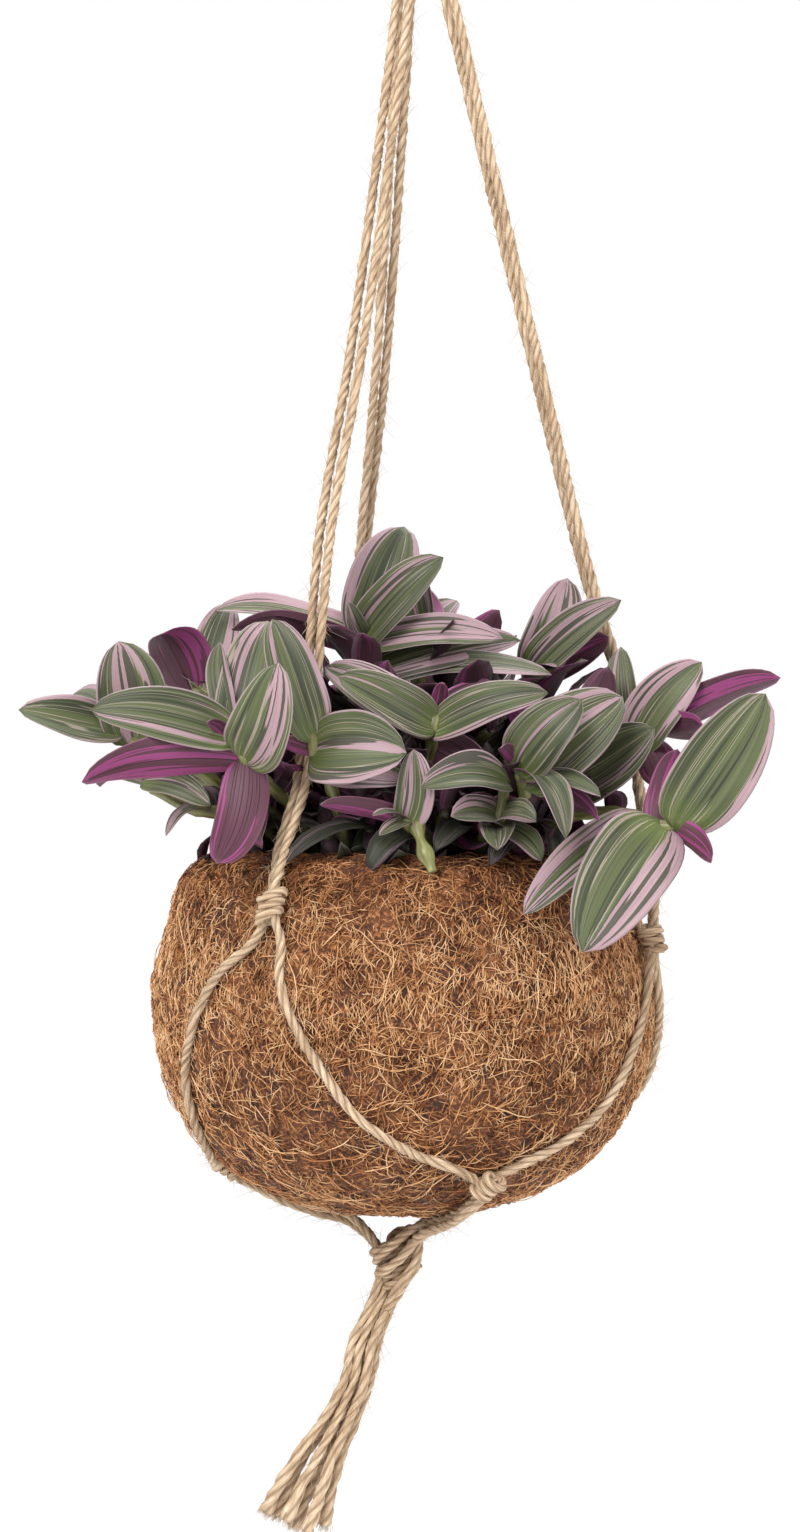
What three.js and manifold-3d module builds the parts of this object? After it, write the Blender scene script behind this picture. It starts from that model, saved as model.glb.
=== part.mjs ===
// A trailing tradescantia in a ball of coconut fibre, hung in a hanger of three jute cords.
// Millimetres, +Z up. The origin is where a hook bears, at the inner top of the hanging loop.
// +X is to the right and -Y towards the viewer. Azimuths turn from the front (-Y) towards +X.
import * as THREE from 'three';
import { mergeVertices } from 'three/addons/utils/BufferGeometryUtils.js';
import Module from 'manifold-3d';

const wasm = await Module();
wasm.setup();

// Driving dimensions
const gap = 0.3; // left between pieces that touch
const ballRadius = 88.5;
const ballMiddle = -420; // height of the widest part
const ballRise = 45.5; // from there to the top
const ballDrop = 82; // and to the bottom
const shoulderSquareness = 8; // exponent of the profile above the middle
const bottomSquareness = 2.45; // and below it
const shoulderTaper = 0.14; // share of the radius that is lost towards the top
const shellWall = 9;
const mouthRadius = 58;
const soilTop = -384;
const cordRadius = 1.75;
const legOffset = 2.4; // from the middle of a pair of cords to each of them, on a leg
const underOffset = 2.05; // and under the ball
const stemRadius = 2.4;
const bladeThickness = 0.8;
const rootDepth = 1.4; // how far a leaf is sunk past its stem's centre line
const neckLength = 4.4; // from a leaf's root to where its blade widens
const neckHalf = 1.4;
const longBladeWidth = 23.5; // blades from this width on get one more row
const smallBladeWidth = 11.5; // and blades under this width one row less

// Fineness of the round shapes
const roundSides = 24;
const stemSides = 5;
const cordSides = 7;
const knotSides = 8;
const knotRoomSides = 8;

// Materials
const finish = (color, roughness) => new THREE.MeshStandardMaterial({ color, roughness, metalness: 0 });
const coir = finish(0x9a6b3f, 0.95);
const earth = finish(0x33241a, 1.0);
const jute = finish(0xb9935f, 0.9);
const foliage = finish(0x6f7f63, 0.5);

// Vectors and solids
const radians = THREE.MathUtils.degToRad;
const point = (p) => new THREE.Vector3(p[0], p[1], p[2]);
const polar = (azimuth, radius, z) =>
  [radius * Math.sin(radians(azimuth)), -radius * Math.cos(radians(azimuth)), z];

function solidOf(geometry) {
  const bare = geometry.clone();
  bare.deleteAttribute('normal');
  bare.deleteAttribute('uv');
  const merged = mergeVertices(bare, 1e-4);
  const vertProperties = new Float32Array(merged.attributes.position.array);
  const triVerts = new Uint32Array(merged.index.array);
  return new wasm.Manifold(new wasm.Mesh({ numProp: 3, vertProperties, triVerts }));
}

function geometryOf(solid) {
  const mesh = solid.getMesh();
  const geometry = new THREE.BufferGeometry();
  geometry.setAttribute('position', new THREE.BufferAttribute(new Float32Array(mesh.vertProperties), 3));
  geometry.setIndex(new THREE.BufferAttribute(new Uint32Array(mesh.triVerts), 1));
  return geometry;
}

// The largest single body of a solid, without the scraps that a cut can leave.
function mainBody(solid) {
  const bodies = solid.decompose();
  return bodies.reduce((best, body) => (body.volume() > best.volume() ? body : best));
}

// A round bar along a smooth curve through the points.
function bar(points, radius, sides, steps) {
  const outline = new THREE.Shape();
  for (let i = 0; i < sides; i += 1) {
    const angle = (2 * Math.PI * (i + 0.5)) / sides;
    const corner = [radius * Math.cos(angle), radius * Math.sin(angle)];
    if (i === 0) outline.moveTo(...corner);
    else outline.lineTo(...corner);
  }
  outline.closePath();
  const extrudePath = new THREE.CatmullRomCurve3(points.map(point), false, 'centripetal');
  return solidOf(new THREE.ExtrudeGeometry(outline, { steps, extrudePath, bevelEnabled: false }));
}

function lathe(profile, segments) {
  const outline = profile.map(([radius, z]) => new THREE.Vector2(radius, z));
  return solidOf(new THREE.LatheGeometry(outline, segments).rotateX(Math.PI / 2));
}

// The ball of coconut fibre

// Outer radius at a height, by a superellipse that is squarer above the middle than below it and
// narrows a little towards the top.
function ballRadiusAt(z) {
  const above = z > ballMiddle;
  const power = above ? shoulderSquareness : bottomSquareness;
  const height = Math.min(1, Math.abs(z - ballMiddle) / (above ? ballRise : ballDrop));
  const narrowing = above ? 1 - shoulderTaper * height : 1;
  return ballRadius * narrowing * (1 - height ** power) ** (1 / power);
}

// The profile point at an angle from the bottom, 0, over the middle, 90, towards the top, 180.
function profilePoint(angle, inset) {
  const above = angle > 90;
  const power = above ? shoulderSquareness : bottomSquareness;
  const height = Math.abs(Math.cos(radians(angle))) ** (2 / power);
  const across = Math.sin(radians(angle)) ** (2 / power) * (above ? 1 - shoulderTaper * height : 1);
  const reach = above ? ballRise - inset : inset - ballDrop;
  return [(ballRadius - inset) * across, ballMiddle + reach * height];
}

const innerAngles = [0, 28, 56, 84, 112, 136];

function shellSolid() {
  const outside = [0, 20, 40, 60, 78, 90, 93, 106, 124, 140].map((a) => profilePoint(a, 0));
  const top = ballMiddle + ballRise;
  const rim = [[mouthRadius + 4, top], [mouthRadius, top - 3]];
  const inside = innerAngles.map((a) => profilePoint(a, shellWall)).reverse();
  outside[0][0] = 0;
  inside[inside.length - 1][0] = 0;
  return lathe([...outside, ...rim, ...inside], roundSides);
}

// The soil fills the shell and stops below the rim, with a plain hole for each stem.
function soilSolid(stems) {
  const side = innerAngles.map((a) => profilePoint(a, shellWall + gap));
  side[0][0] = 0;
  const surface = [[mouthRadius + 2.4, soilTop - 3], [mouthRadius * 0.6, soilTop], [0, soilTop]];
  let soil = lathe([...side, ...surface], roundSides);
  for (const { path, steps } of stems) {
    soil = soil.subtract(bar(path, stemRadius + gap, stemSides, steps));
  }
  return mainBody(soil);
}

// Knots

// Turns and moves a solid built along Z to a knot's place.
function laid(solid, knot) {
  const axis = point(knot.axis).normalize();
  const turn = new THREE.Quaternion().setFromUnitVectors(new THREE.Vector3(0, 0, 1), axis);
  const place = new THREE.Matrix4().compose(point(knot.at), turn, new THREE.Vector3(1, 1, 1));
  return solid.transform(place.elements);
}

// A knot: rounded turns of cord lying side by side.
function knotSolid(knot) {
  const half = knot.length / 2;
  const profile = [[0, -half]];
  const pitch = knot.length / knot.turns;
  for (let i = 0; i < knot.turns; i += 1) {
    const start = -half + i * pitch;
    const belly = 1 + 0.1 * Math.sin((Math.PI * (i + 0.5)) / knot.turns);
    profile.push([knot.coil, start], [(knot.coil + cordRadius) * belly, start + 0.3 * pitch]);
    profile.push([(knot.coil + cordRadius) * belly, start + 0.7 * pitch]);
  }
  profile.push([knot.coil, half], [0, half]);
  return laid(lathe(profile, knotSides), knot);
}

// The room that a knot takes from the cords that run into it.
function knotRoom(knot) {
  const half = knot.length / 2 + gap;
  const radius = (knot.coil + cordRadius) * 1.1 + 2 * gap;
  return laid(lathe([[0, -half], [radius, -half], [radius, half], [0, half]], knotRoomSides), knot);
}

// A point that stands off the ball's surface by a distance, and the surface's slope there.
const slopeAt = (z) => (ballRadiusAt(z - 1) - ballRadiusAt(z + 1)) / 2;
function offBall(azimuth, z, distance) {
  const slope = slopeAt(z);
  const share = distance / Math.hypot(1, slope);
  return polar(azimuth, ballRadiusAt(z) + share, z + slope * share);
}

const shoulderAzimuths = { front: -31, right: 72, back: -163 };
const lowerAzimuths = { front: 23.5, left: -110, back: 142 };
const shoulderHeights = { front: -393.5, right: -406.5, back: -394 };
const lowerHeights = { front: -482, left: -484.5, back: -484 };
const shoulderKnotReach = 6; // from the ball's surface to the middle of a knot
const lowerKnotReach = 6.2;

const topKnot = { at: [4, 0, -37], axis: [0, 0, 1], length: 24, coil: 7, turns: 3 };
const bottomKnot = { at: [-2.5, 0, -518], axis: [-0.25, 0, 1], length: 20, coil: 7.2, turns: 2 };
const knots = { top_knot: topKnot, bottom_knot: bottomKnot };
for (const [side, azimuth] of Object.entries(shoulderAzimuths)) {
  const z = shoulderHeights[side];
  const axis = polar(azimuth, -slopeAt(z), 1);
  const at = offBall(azimuth, z, shoulderKnotReach);
  knots[`shoulder_knot_${side}`] = { at, axis, length: 12, coil: 3.2, turns: 2 };
}
for (const [side, azimuth] of Object.entries(lowerAzimuths)) {
  const z = lowerHeights[side];
  const axis = polar(azimuth, -slopeAt(z), 1);
  const at = offBall(azimuth, z, lowerKnotReach);
  knots[`lower_knot_${side}`] = { at, axis, length: 11, coil: 3.3, turns: 2 };
}

// Cords

// Routes of the three legs, from the top knot to the shoulder of the ball.
const legRoutes = {
  front: [[2, -2, -37], [1, -3, -60], [-16, -24, -196], [-27, -41, -264], [-31, -50, -310],
    [-35, -56, -351], [-41, -63.5, -372], knots.shoulder_knot_front.at],
  right: [[7, -1, -37], [13, -2, -60], [45.2, -4, -196], [67, -6, -285], [75.5, -7, -312],
    [83, -9, -353], [87.5, -17, -386], knots.shoulder_knot_right.at],
  back: [[2, 3, -37], [1, 5, -60], [-8, 26, -196], [-16, 49, -276], [-21, 66, -350],
    [-25, 77, -380], knots.shoulder_knot_back.at],
};
// Which way the two cords of a leg lie apart, at its top and at its foot.
const legSpread = {
  front: [[1, -0.3, 0], [0.4, -0.9, 0]],
  right: [[0.7, -0.7, 0], [-0.1, -1, 0]],
  back: [[1, 0.3, 0], [-0.4, 1, 0]],
};

// How far a net cord's middle stands off the ball, and its share of the turn from the leg's azimuth
// to the lower knot's at each height: of the cords in general, and of the one from front to left.
const netReach = cordRadius + 0.8;
const netTurn = [[-404, 0.02, 0.04], [-414, 0.03, 0.14], [-423, 0.065, 0.2], [-432, 0.114, 0.25],
  [-448, 0.23, 0.325], [-461, 0.35, 0.37], [-472, 0.56, 0.42], [-478, 0.77, 0.48], [-482, 0.9, 0.6]];
const knotClearance = 8; // a net cord's route starts this far below its shoulder knot
const netCords = [
  ['front', 'front'], ['front', 'left'], ['right', 'front'],
  ['right', 'back'], ['back', 'back'], ['back', 'left'],
];

// One cord of a leg: the route moved aside, by a direction that turns from the top to the foot.
function legRoute(side, distance) {
  const [top, foot] = legSpread[side].map(point);
  const last = legRoutes[side].length - 1;
  return legRoutes[side].map((p, i) => {
    const aside = top.clone().lerp(foot, i / last).normalize().multiplyScalar(distance);
    return [p[0] + aside.x, p[1] + aside.y, p[2] + aside.z];
  });
}

function netRoute(from, to) {
  const column = from === 'front' && to === 'left' ? 2 : 1;
  const start = shoulderAzimuths[from];
  let turn = lowerAzimuths[to] - start;
  if (turn > 180) turn -= 360;
  if (turn < -180) turn += 360;
  const lean = Math.sign(turn);
  const below = netTurn.filter((row) => row[0] < shoulderHeights[from] - knotClearance);
  const route = below.map((row) => offBall(start + turn * row[column] + lean * 1.5, row[0], netReach));
  return [knots[`shoulder_knot_${from}`].at, ...route, knots[`lower_knot_${to}`].at];
}

// One cord of a pair under the ball: the two lie beside and a little over each other.
function underRoute(side, sign) {
  const azimuth = lowerAzimuths[side];
  const knot = knots[`lower_knot_${side}`].at;
  const away = polar(azimuth + 90, sign * underOffset * 0.6, sign * underOffset * 0.8);
  const along = [[51, -497.5], [36, -502.5], [20, -506.5]].map(([radius, z]) => polar(azimuth, radius, z));
  return [knot, ...along, [bottomKnot.at[0], 0, bottomKnot.at[2] + 2]]
    .map((p) => [p[0] + away[0], p[1] + away[1], p[2] + away[2]]);
}

// The tassel: height, x of its left, middle and right columns of two strands, and how far its
// front row is shifted one way and its back row the other. It leans left and opens out.
const tasselCourse = [
  [-519, -8, -4.2, -0.4, 0], [-529, -10, -6.2, -2.4, 0], [-549, -18, -13.6, -9.2, 0.1],
  [-563, -21.4, -16.7, -12.1, 0.3], [-577, -28.4, -22.6, -17.3, 0.9], [-591, -37.6, -29.8, -24.2, 1.5],
  [-602, -44.4, -35, -28, 2], [-618, -50.5, -42, -33.5, 2.4],
];
const tasselEnds = [-609, -611, -612, -615.5, -616, -614.5]; // height of each strand's cut end
const tasselRowDistance = 2.05; // from the middle to each row

function tasselRoute(index) {
  const column = Math.floor(index / 2);
  const row = index % 2 === 0 ? -1 : 1;
  const end = tasselEnds[index];
  const before = tasselCourse[tasselCourse.length - 2];
  const after = tasselCourse[tasselCourse.length - 1];
  const share = (before[0] - end) / (before[0] - after[0]);
  const last = before.map((value, i) => value + (after[i] - value) * share);
  return [...tasselCourse.slice(0, -1), last].map((course) =>
    [course[1 + column] + row * course[4], row * tasselRowDistance, course[0]]);
}

// Each loop is half a cord's fold: up from the top knot, round a half circle over the hook and down.
const loopHalfWidth = 8;
const loopCentre = -6; // height of the half circle's centre
const loopSpacing = 3.9;
const loopSplay = 0.25; // how far the half circle is drawn apart at its ends

function loopRoute(y) {
  const route = [[5.5, y, -30], [loopHalfWidth + 1.5, y, -18]];
  for (let angle = 0; angle <= 180; angle += 30) {
    const across = loopHalfWidth * Math.cos(radians(angle)) + loopSplay * (1 - angle / 90);
    const rise = (cordRadius - loopCentre) * Math.sin(radians(angle));
    route.push([across, y, loopCentre + rise]);
  }
  route.push([2 - loopHalfWidth, y, -18], [1, y, -30]);
  return route;
}

// Leafy stems

const leaf = (base, tip, width, face, bow = 3, fold = 18, sweep = 0) =>
  ({ base, tip, width, face, bow, fold, sweep });

// Each stem: the points it grows through, from its root in the soil, and its leaves. A leaf has
// its base, its tip, its width, the way its upper side faces, how far its midrib bows towards
// that side, how steeply its halves fold up in degrees, and how far it bends sideways.
const frontStems = {
  far_left: {
    path: [[-34, -10, -396], [-48, -16, -368], [-72, -28, -346], [-90, -33, -338], [-101, -36, -331]],
    leaves: [
      leaf([-100, -36, -332], [-131, -50, -325], 18, [0, -0.9, 0.45], 2, 25, -1),
      leaf([-92, -34, -337], [-98, -42, -302], 26, [0.1, -1, 0.15], 3, 16, 2),
      leaf([-98, -35, -333], [-118, -12, -318], 17, [-0.2, -0.4, 1]),
    ],
  },
  low_left: {
    path: [[-34, -20, -396], [-46, -28, -368], [-62, -37, -361], [-74, -42, -359], [-88, -46, -351]],
    leaves: [
      leaf([-87, -46, -351], [-66, -62, -357], 12, [0, -0.8, 0.6]),
      leaf([-70, -43, -363], [-81, -54, -367], 5, [0, -0.6, 0.8]),
      leaf([-64, -39, -364], [-46, -66, -369], 16, [0.1, 1, 0.2]),
      leaf([-86, -45, -352], [-106, -28, -350], 15, [0, -0.4, 1]),
    ],
  },
  left_front: {
    path: [[-24, -30, -396], [-33, -39, -368], [-40, -46, -357], [-48, -56, -349],
      [-54, -65, -341], [-58, -64, -333]],
    leaves: [
      leaf([-53, -65, -344], [-107, -92, -349], 18, [0.1, 0.85, 0.5], 6),
      leaf([-54, -64, -343], [-62, -84, -378], 18, [0.1, 1, -0.3], 3, 14, 2),
      leaf([-57, -63, -335], [-104, -76, -325], 20, [0, -0.95, 0.35], 3, 14, 1),
      leaf([-56, -63, -337], [-47, -50, -294], 21, [-0.2, -1, 0.2], 3),
      leaf([-53, -66, -341], [-42, -86, -311], 23, [0, -1, 0.35], 6, 18, 3),
      leaf([-58, -63, -333], [-64, -54, -302], 10, [-0.4, -0.9, 0.2], 2),
      leaf([-55, -65, -340], [-66, -74, -329], 6, [0, 1, 0.3], 2),
    ],
  },
  left_inner: {
    path: [[-14, -38, -396], [-20, -48, -369], [-25, -60, -351], [-30, -66, -340], [-31, -67, -333]],
    leaves: [
      leaf([-31, -67, -336], [-44, -66, -295], 19, [0.25, -1, 0], 2),
      leaf([-30, -67, -340], [0, -84, -340], 27, [0, -0.97, 0.25], 4, 14),
      leaf([-28, -64, -345], [1, -73, -348], 19, [0, -0.9, 0.4], 3, 14),
      leaf([-30, -66, -340], [-42, -76, -336], 6, [0, 1, 0.3], 2),
    ],
  },
  upper_left: {
    path: [[-24, -4, -396], [-34, -6, -362], [-54, -12, -332], [-67, -15, -321], [-74, -17, -318]],
    leaves: [
      leaf([-74, -17, -318], [-84, -31, -298], 22, [0, 1, 0.3]),
      leaf([-70, -16, -320], [-62, -5, -287], 17, [-0.1, -1, 0.1]),
      leaf([-66, -14, -321], [-96, 4, -306], 18, [0, -0.3, 1], 4),
      leaf([-60, -13, -326], [-72, 16, -314], 17, [0, -0.2, 1], 4),
    ],
  },
  top_centre: {
    path: [[-4, -4, -396], [-8, -4, -350], [-12, -8, -318], [-14, -10, -300]],
    leaves: [
      leaf([-14, -9, -301], [0, -2, -259], 25, [-0.1, -1, 0.1], 2),
      leaf([-14, -11, -300], [12, -27, -272], 19, [-0.2, -1, 0.4], 3),
      leaf([-14, -11, -300], [-19, -20, -288], 7, [0, -1, 0.4], 1),
      leaf([-14, -10, -303], [33, -34, -299], 15, [0, -0.85, 0.5], 4),
      leaf([-14, -9, -302], [-66, -16, -289], 20, [0, -0.5, 0.87], 3, 26),
      leaf([-14, -11, -306], [-60, -34, -296], 13, [0, 0.75, 0.66], 6, 20),
      leaf([-12, -9, -311], [40, -22, -300], 17, [0, -0.9, 0.45], 4),
      leaf([-12, -8, -316], [50, -38, -311], 16, [0, -0.6, 0.8], 4),
    ],
  },
  mid_centre: {
    path: [[8, -20, -396], [8, -28, -362], [9, -42, -343], [10, -50, -332], [11, -50, -326]],
    leaves: [
      leaf([10, -50, -331], [-21, -64, -314], 17, [0, -0.95, 0.3]),
      leaf([10, -50, -333], [47, -65, -319], 16, [0, -0.9, 0.4]),
      leaf([10, -48, -333], [-27, -44, -310], 18, [0, -0.9, 0.45]),
      leaf([11, -49, -329], [30, -40, -316], 13, [0, 1, 0.2], 2),
      leaf([9, -46, -338], [28, -52, -347], 17, [0, 1, 0.1], 2),
      leaf([11, -50, -328], [13, -57, -316], 6, [0, 1, 0.3], 2),
    ],
  },
  low_centre: {
    path: [[8, -42, -396], [7, -54, -371], [3, -66, -367], [0, -73, -362]],
    leaves: [
      leaf([1, -72, -363], [3, -79, -340], 14, [0, -1, 0.3], 2, 20, 1.5),
      leaf([1, -71, -364], [-28, -86, -357], 9, [0, 0.8, 0.6], 2),
      leaf([0, -73, -363], [-10, -83, -360], 5, [0, -0.5, 0.9], 1),
      leaf([1, -72, -364], [-8, -84, -367], 6, [0, -0.8, 0.6], 1),
    ],
  },
  low_right_inner: {
    path: [[22, -38, -396], [26, -53, -371], [31, -64, -366], [33, -66, -357], [34, -66, -351]],
    leaves: [
      leaf([34, -66, -351], [7, -84, -350], 17, [0, -0.85, 0.5], 4, 26),
      leaf([32, -65, -364], [16, -82, -361], 14, [0, -0.85, 0.5], 2, 26),
      leaf([32, -65, -363], [43, -80, -362], 13, [0, -0.8, 0.6], 2, 26),
      leaf([31, -64, -365], [31, -84, -371], 13, [0, -0.4, 0.9], 2),
      leaf([31, -63, -366], [46, -74, -376], 13, [0.2, -0.6, 0.8], 2),
    ],
  },
  low_right: {
    path: [[34, -26, -396], [38, -42, -368], [41, -56, -355], [39, -67, -346]],
    leaves: [
      leaf([39, -67, -346], [58, -80, -323], 21, [-0.1, -1, 0.3], 4, 14, -1),
      leaf([40, -61, -351], [73, -66, -321], 28, [0, -1, 0.35], 4, 14),
      leaf([39, -66, -347], [54, -92, -366], 13, [0.3, -0.6, 0.7], 6, 24),
      leaf([40, -62, -350], [65, -84, -354], 12, [0, -0.6, 0.8], 2, 32),
      leaf([41, -58, -354], [66, -78, -362], 15, [0, 0.7, 0.6], 3),
      leaf([39, -67, -346], [32, -77, -338], 6, [0, 1, 0.3], 2),
    ],
  },
  right_inner: {
    path: [[44, -12, -396], [53, -22, -364], [58, -36, -350], [60, -44, -342]],
    leaves: [
      leaf([57, -35, -351], [84, -60, -332], 23, [0, -0.95, 0.3], 3, 14, 2),
      leaf([60, -43, -343], [70, -34, -311], 17, [-0.1, 1, 0.1], 2),
      leaf([59, -41, -345], [36, -40, -322], 16, [0, 0.9, 0.4]),
    ],
  },
  upper_right: {
    path: [[26, 2, -396], [34, 0, -350], [42, -4, -322], [45, -6, -310]],
    leaves: [
      leaf([43, -5, -311], [58, -4, -278], 19, [0, -1, 0.1], 2, 14, 2),
      leaf([45, -6, -312], [74, -26, -287], 16, [-0.1, -1, 0.3], 3, 14, -1),
      leaf([44, -6, -316], [72, -13, -299], 14, [0.1, 1, 0.3], 2),
      leaf([44, -6, -314], [53, -22, -309], 6, [0, -0.4, 0.9], 2),
      leaf([44, -4, -315], [76, 14, -303], 17, [0, -0.3, 1], 4),
    ],
  },
  right: {
    path: [[42, -2, -396], [57, -10, -364], [70, -18, -347], [81, -25, -338], [92, -30, -330]],
    leaves: [
      leaf([81, -25, -338], [102, -36, -309], 20, [-0.1, -1, 0.3], 3, 16, -2),
      leaf([79, -24, -339], [75, -22, -303], 13, [-0.3, -1, 0.1], 2),
      leaf([91, -30, -331], [129, -42, -313], 15, [0, 0.8, 0.6], 2),
      leaf([88, -28, -333], [104, -48, -332], 13, [0, 0.9, 0.4], 2),
      leaf([84, -27, -336], [90, -46, -351], 15, [0, 1, 0.1], 2),
      leaf([91, -29, -331], [120, -10, -322], 17, [0, -0.2, 1], 4),
    ],
  },
  right_front: {
    path: [[34, -16, -396], [46, -28, -368], [62, -42, -361], [76, -54, -361],
      [86, -63, -365], [92, -66, -365]],
    leaves: [
      leaf([92, -66, -365], [121, -76, -321], 28, [0.2, -1, 0.1], 4, 12),
      leaf([86, -63, -366], [92, -62, -339], 13, [-0.2, 1, 0], 2),
      leaf([86, -64, -366], [59, -94, -405], 30, [0, -1, 0.25], 5, 12, 1.5),
      leaf([90, -65, -366], [103, -82, -376], 10, [0.2, 0.9, 0.4], 2),
      leaf([78, -56, -364], [40, -86, -392], 16, [-0.1, -0.9, 0.4], 2),
    ],
  },
};

// The stems at the sides and back: azimuth, how far out and how high each ends, and its leaves' size.
const backStems = {
  back_right_low: [112, 88, -348, 1],
  back_right_far: [138, 94, -354, 0.95],
  back_low: [172, 86, -350, 0.8],
  back_left_far: [-136, 94, -352, 0.95],
  back_left_low: [-104, 88, -346, 0.95],
  back_right_mid: [122, 56, -326, 0.9],
  back_mid: [178, 42, -306, 0.9],
  back_left_mid: [-126, 52, -320, 0.95],
  back_top: [150, 16, -292, 0.9],
};

let seed = 7;
function random() {
  seed = (Math.imul(seed, 1664525) + 1013904223) >>> 0;
  return seed / 4294967296;
}
const between = (low, high) => low + (high - low) * random();

// Leaves stand by turns on either side of the stem, opening wide low down and narrow at its tip.
const leafLengths = [31, 41, 44, 38, 28];
const nodeShares = [0.48, 0.64, 0.79, 0.92, 0.985]; // of the stem's length

function grownStem([azimuth, reach, height, size]) {
  const rootRadius = Math.min(40, 0.42 * reach);
  const path = [
    polar(azimuth, rootRadius, -396), polar(azimuth, rootRadius + 0.12 * reach, -366),
    polar(azimuth, 0.8 * reach, height - 6), polar(azimuth, reach, height),
  ];
  const curve = new THREE.CatmullRomCurve3(path.map(point), false, 'centripetal');
  const outward = point(polar(azimuth, 1, 0));
  const leaves = leafLengths.map((fullLength, i) => {
    const share = nodeShares[i];
    const base = curve.getPointAt(share);
    const along = curve.getTangentAt(share);
    const lift = new THREE.Vector3(0, 0, 1).addScaledVector(outward, 0.5);
    lift.addScaledVector(along, -lift.dot(along)).normalize();
    const across = new THREE.Vector3().crossVectors(along, lift);
    const rank = i % 2 === 0 ? 1 : -1;
    const roll = radians(90 + rank * (72 - 8 * i + between(-8, 8)));
    const open = radians(74 - 11 * i + between(-6, 6));
    const radial = across.multiplyScalar(Math.cos(roll)).addScaledVector(lift, Math.sin(roll));
    const heading = along.clone().multiplyScalar(Math.cos(open)).addScaledVector(radial, Math.sin(open));
    const length = fullLength * size * between(0.94, 1.06);
    const tip = base.clone().addScaledVector(heading, length);
    return leaf(base.toArray(), tip.toArray(), length * 0.49, lift.toArray(), between(2, 5));
  });
  return { path, leaves };
}

const stems = {};
for (const [name, stem] of Object.entries(frontStems)) {
  stems[name] = { name, ...stem, steps: stem.path.length };
}
for (const [name, rule] of Object.entries(backStems)) {
  stems[name] = { name, ...grownStem(rule), steps: 4 };
}

// Half the width of a blade along its length, as a share of the full half width: round at the
// base, widest at two fifths and blunt, with a small point.
const bladeHalf = (t) => Math.max((1 - Math.abs(2 * t ** 0.8 - 1) ** 2.4) ** 0.62, 0.05);

// A blade is a folded strip with an upper and a lower side, split into triangles alike on both.
function bladeSolid({ base, tip, width, face, bow, fold, sweep }) {
  const start = point(base);
  start.addScaledVector(point(tip).sub(start).normalize(), -rootDepth);
  const axis = point(tip).sub(start);
  const facing = point(face);
  const unit = axis.clone().normalize();
  facing.addScaledVector(unit, -facing.dot(unit)).normalize();
  const side = new THREE.Vector3().crossVectors(unit, facing);
  const neck = neckLength / axis.length();
  let spread = [0.3, 0.74, 1];
  if (width < smallBladeWidth) spread = [0.5, 1];
  if (width > longBladeWidth) spread = [0.24, 0.54, 0.84, 1];
  const stations = [0, neck, ...spread];
  const columns = [-1, 0, 1];
  const rows = stations.length;
  const across = columns.length;
  const upper = [];
  const lower = [];
  for (const t of stations) {
    const middle = start.clone().addScaledVector(axis, t).addScaledVector(facing, bow * 4 * t * (1 - t));
    middle.addScaledVector(side, sweep * Math.sin(Math.PI * t));
    const tangent = axis.clone().addScaledVector(facing, bow * 4 * (1 - 2 * t)).normalize();
    const normal = facing.clone().addScaledVector(tangent, -facing.dot(tangent)).normalize();
    const half = t > neck ? (width / 2) * bladeHalf(t) : neckHalf;
    for (const u of columns) {
      const rise = half * Math.sin(radians(fold)) * Math.abs(u);
      const p = middle.clone().addScaledVector(side, u * half * Math.cos(radians(fold)));
      p.addScaledVector(normal, rise);
      upper.push(p);
      lower.push(p.clone().addScaledVector(normal, -bladeThickness));
    }
  }
  const positions = new Float32Array([...upper, ...lower].flatMap((p) => p.toArray()));
  const below = rows * across;
  const index = [];
  const quad = (a, b, c, d) => index.push(a, b, c, a, c, d);
  for (let i = 0; i < rows - 1; i += 1) {
    for (let j = 0; j < across - 1; j += 1) {
      const a = i * across + j;
      const b = a + across;
      index.push(a, a + 1, b + 1, a, b + 1, b);
      index.push(below + a, below + b + 1, below + a + 1, below + a, below + b, below + b + 1);
    }
    const left = i * across;
    const right = left + across - 1;
    quad(left, left + across, below + left + across, below + left);
    quad(right + across, right, below + right, below + right + across);
  }
  const last = (rows - 1) * across;
  for (let j = 0; j < across - 1; j += 1) {
    quad(j + 1, j, below + j, below + j + 1);
    quad(last + j, last + j + 1, below + last + j + 1, below + last + j);
  }
  const geometry = new THREE.BufferGeometry();
  geometry.setAttribute('position', new THREE.BufferAttribute(positions, 3));
  geometry.setIndex(index);
  return solidOf(geometry);
}

// The point of a stem's centre line that is nearest to a leaf's base: the leaf grows from there.
function rootOn(path, steps, base) {
  const curve = new THREE.CatmullRomCurve3(path.map(point), false, 'centripetal');
  const joints = curve.getSpacedPoints(steps);
  const wanted = point(base);
  let best = joints[0];
  for (let i = 0; i < steps; i += 1) {
    const piece = new THREE.Line3(joints[i], joints[i + 1]);
    const near = piece.closestPointToPoint(wanted, true, new THREE.Vector3());
    if (near.distanceTo(wanted) < best.distanceTo(wanted)) best = near;
  }
  return best.toArray();
}

function leafyStemSolid({ name, path, steps, leaves }) {
  let solid = bar(path, stemRadius, stemSides, steps);
  for (const blade of leaves) {
    solid = solid.add(bladeSolid({ ...blade, base: rootOn(path, steps, blade.base) }));
  }
  if (solid.decompose().length > 1) throw new Error(`a leaf misses its stem on ${name}`);
  return solid;
}

// Assembly

const group = new THREE.Group();
function place(name, solid, material) {
  const mesh = new THREE.Mesh(geometryOf(solid), material);
  mesh.name = name;
  group.add(mesh);
}

place('coir_shell', shellSolid(), coir);
place('soil', soilSolid(Object.values(stems)), earth);

const knotRooms = {};
for (const [name, knot] of Object.entries(knots)) {
  place(name, knotSolid(knot), jute);
  knotRooms[name] = knotRoom(knot);
}

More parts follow.
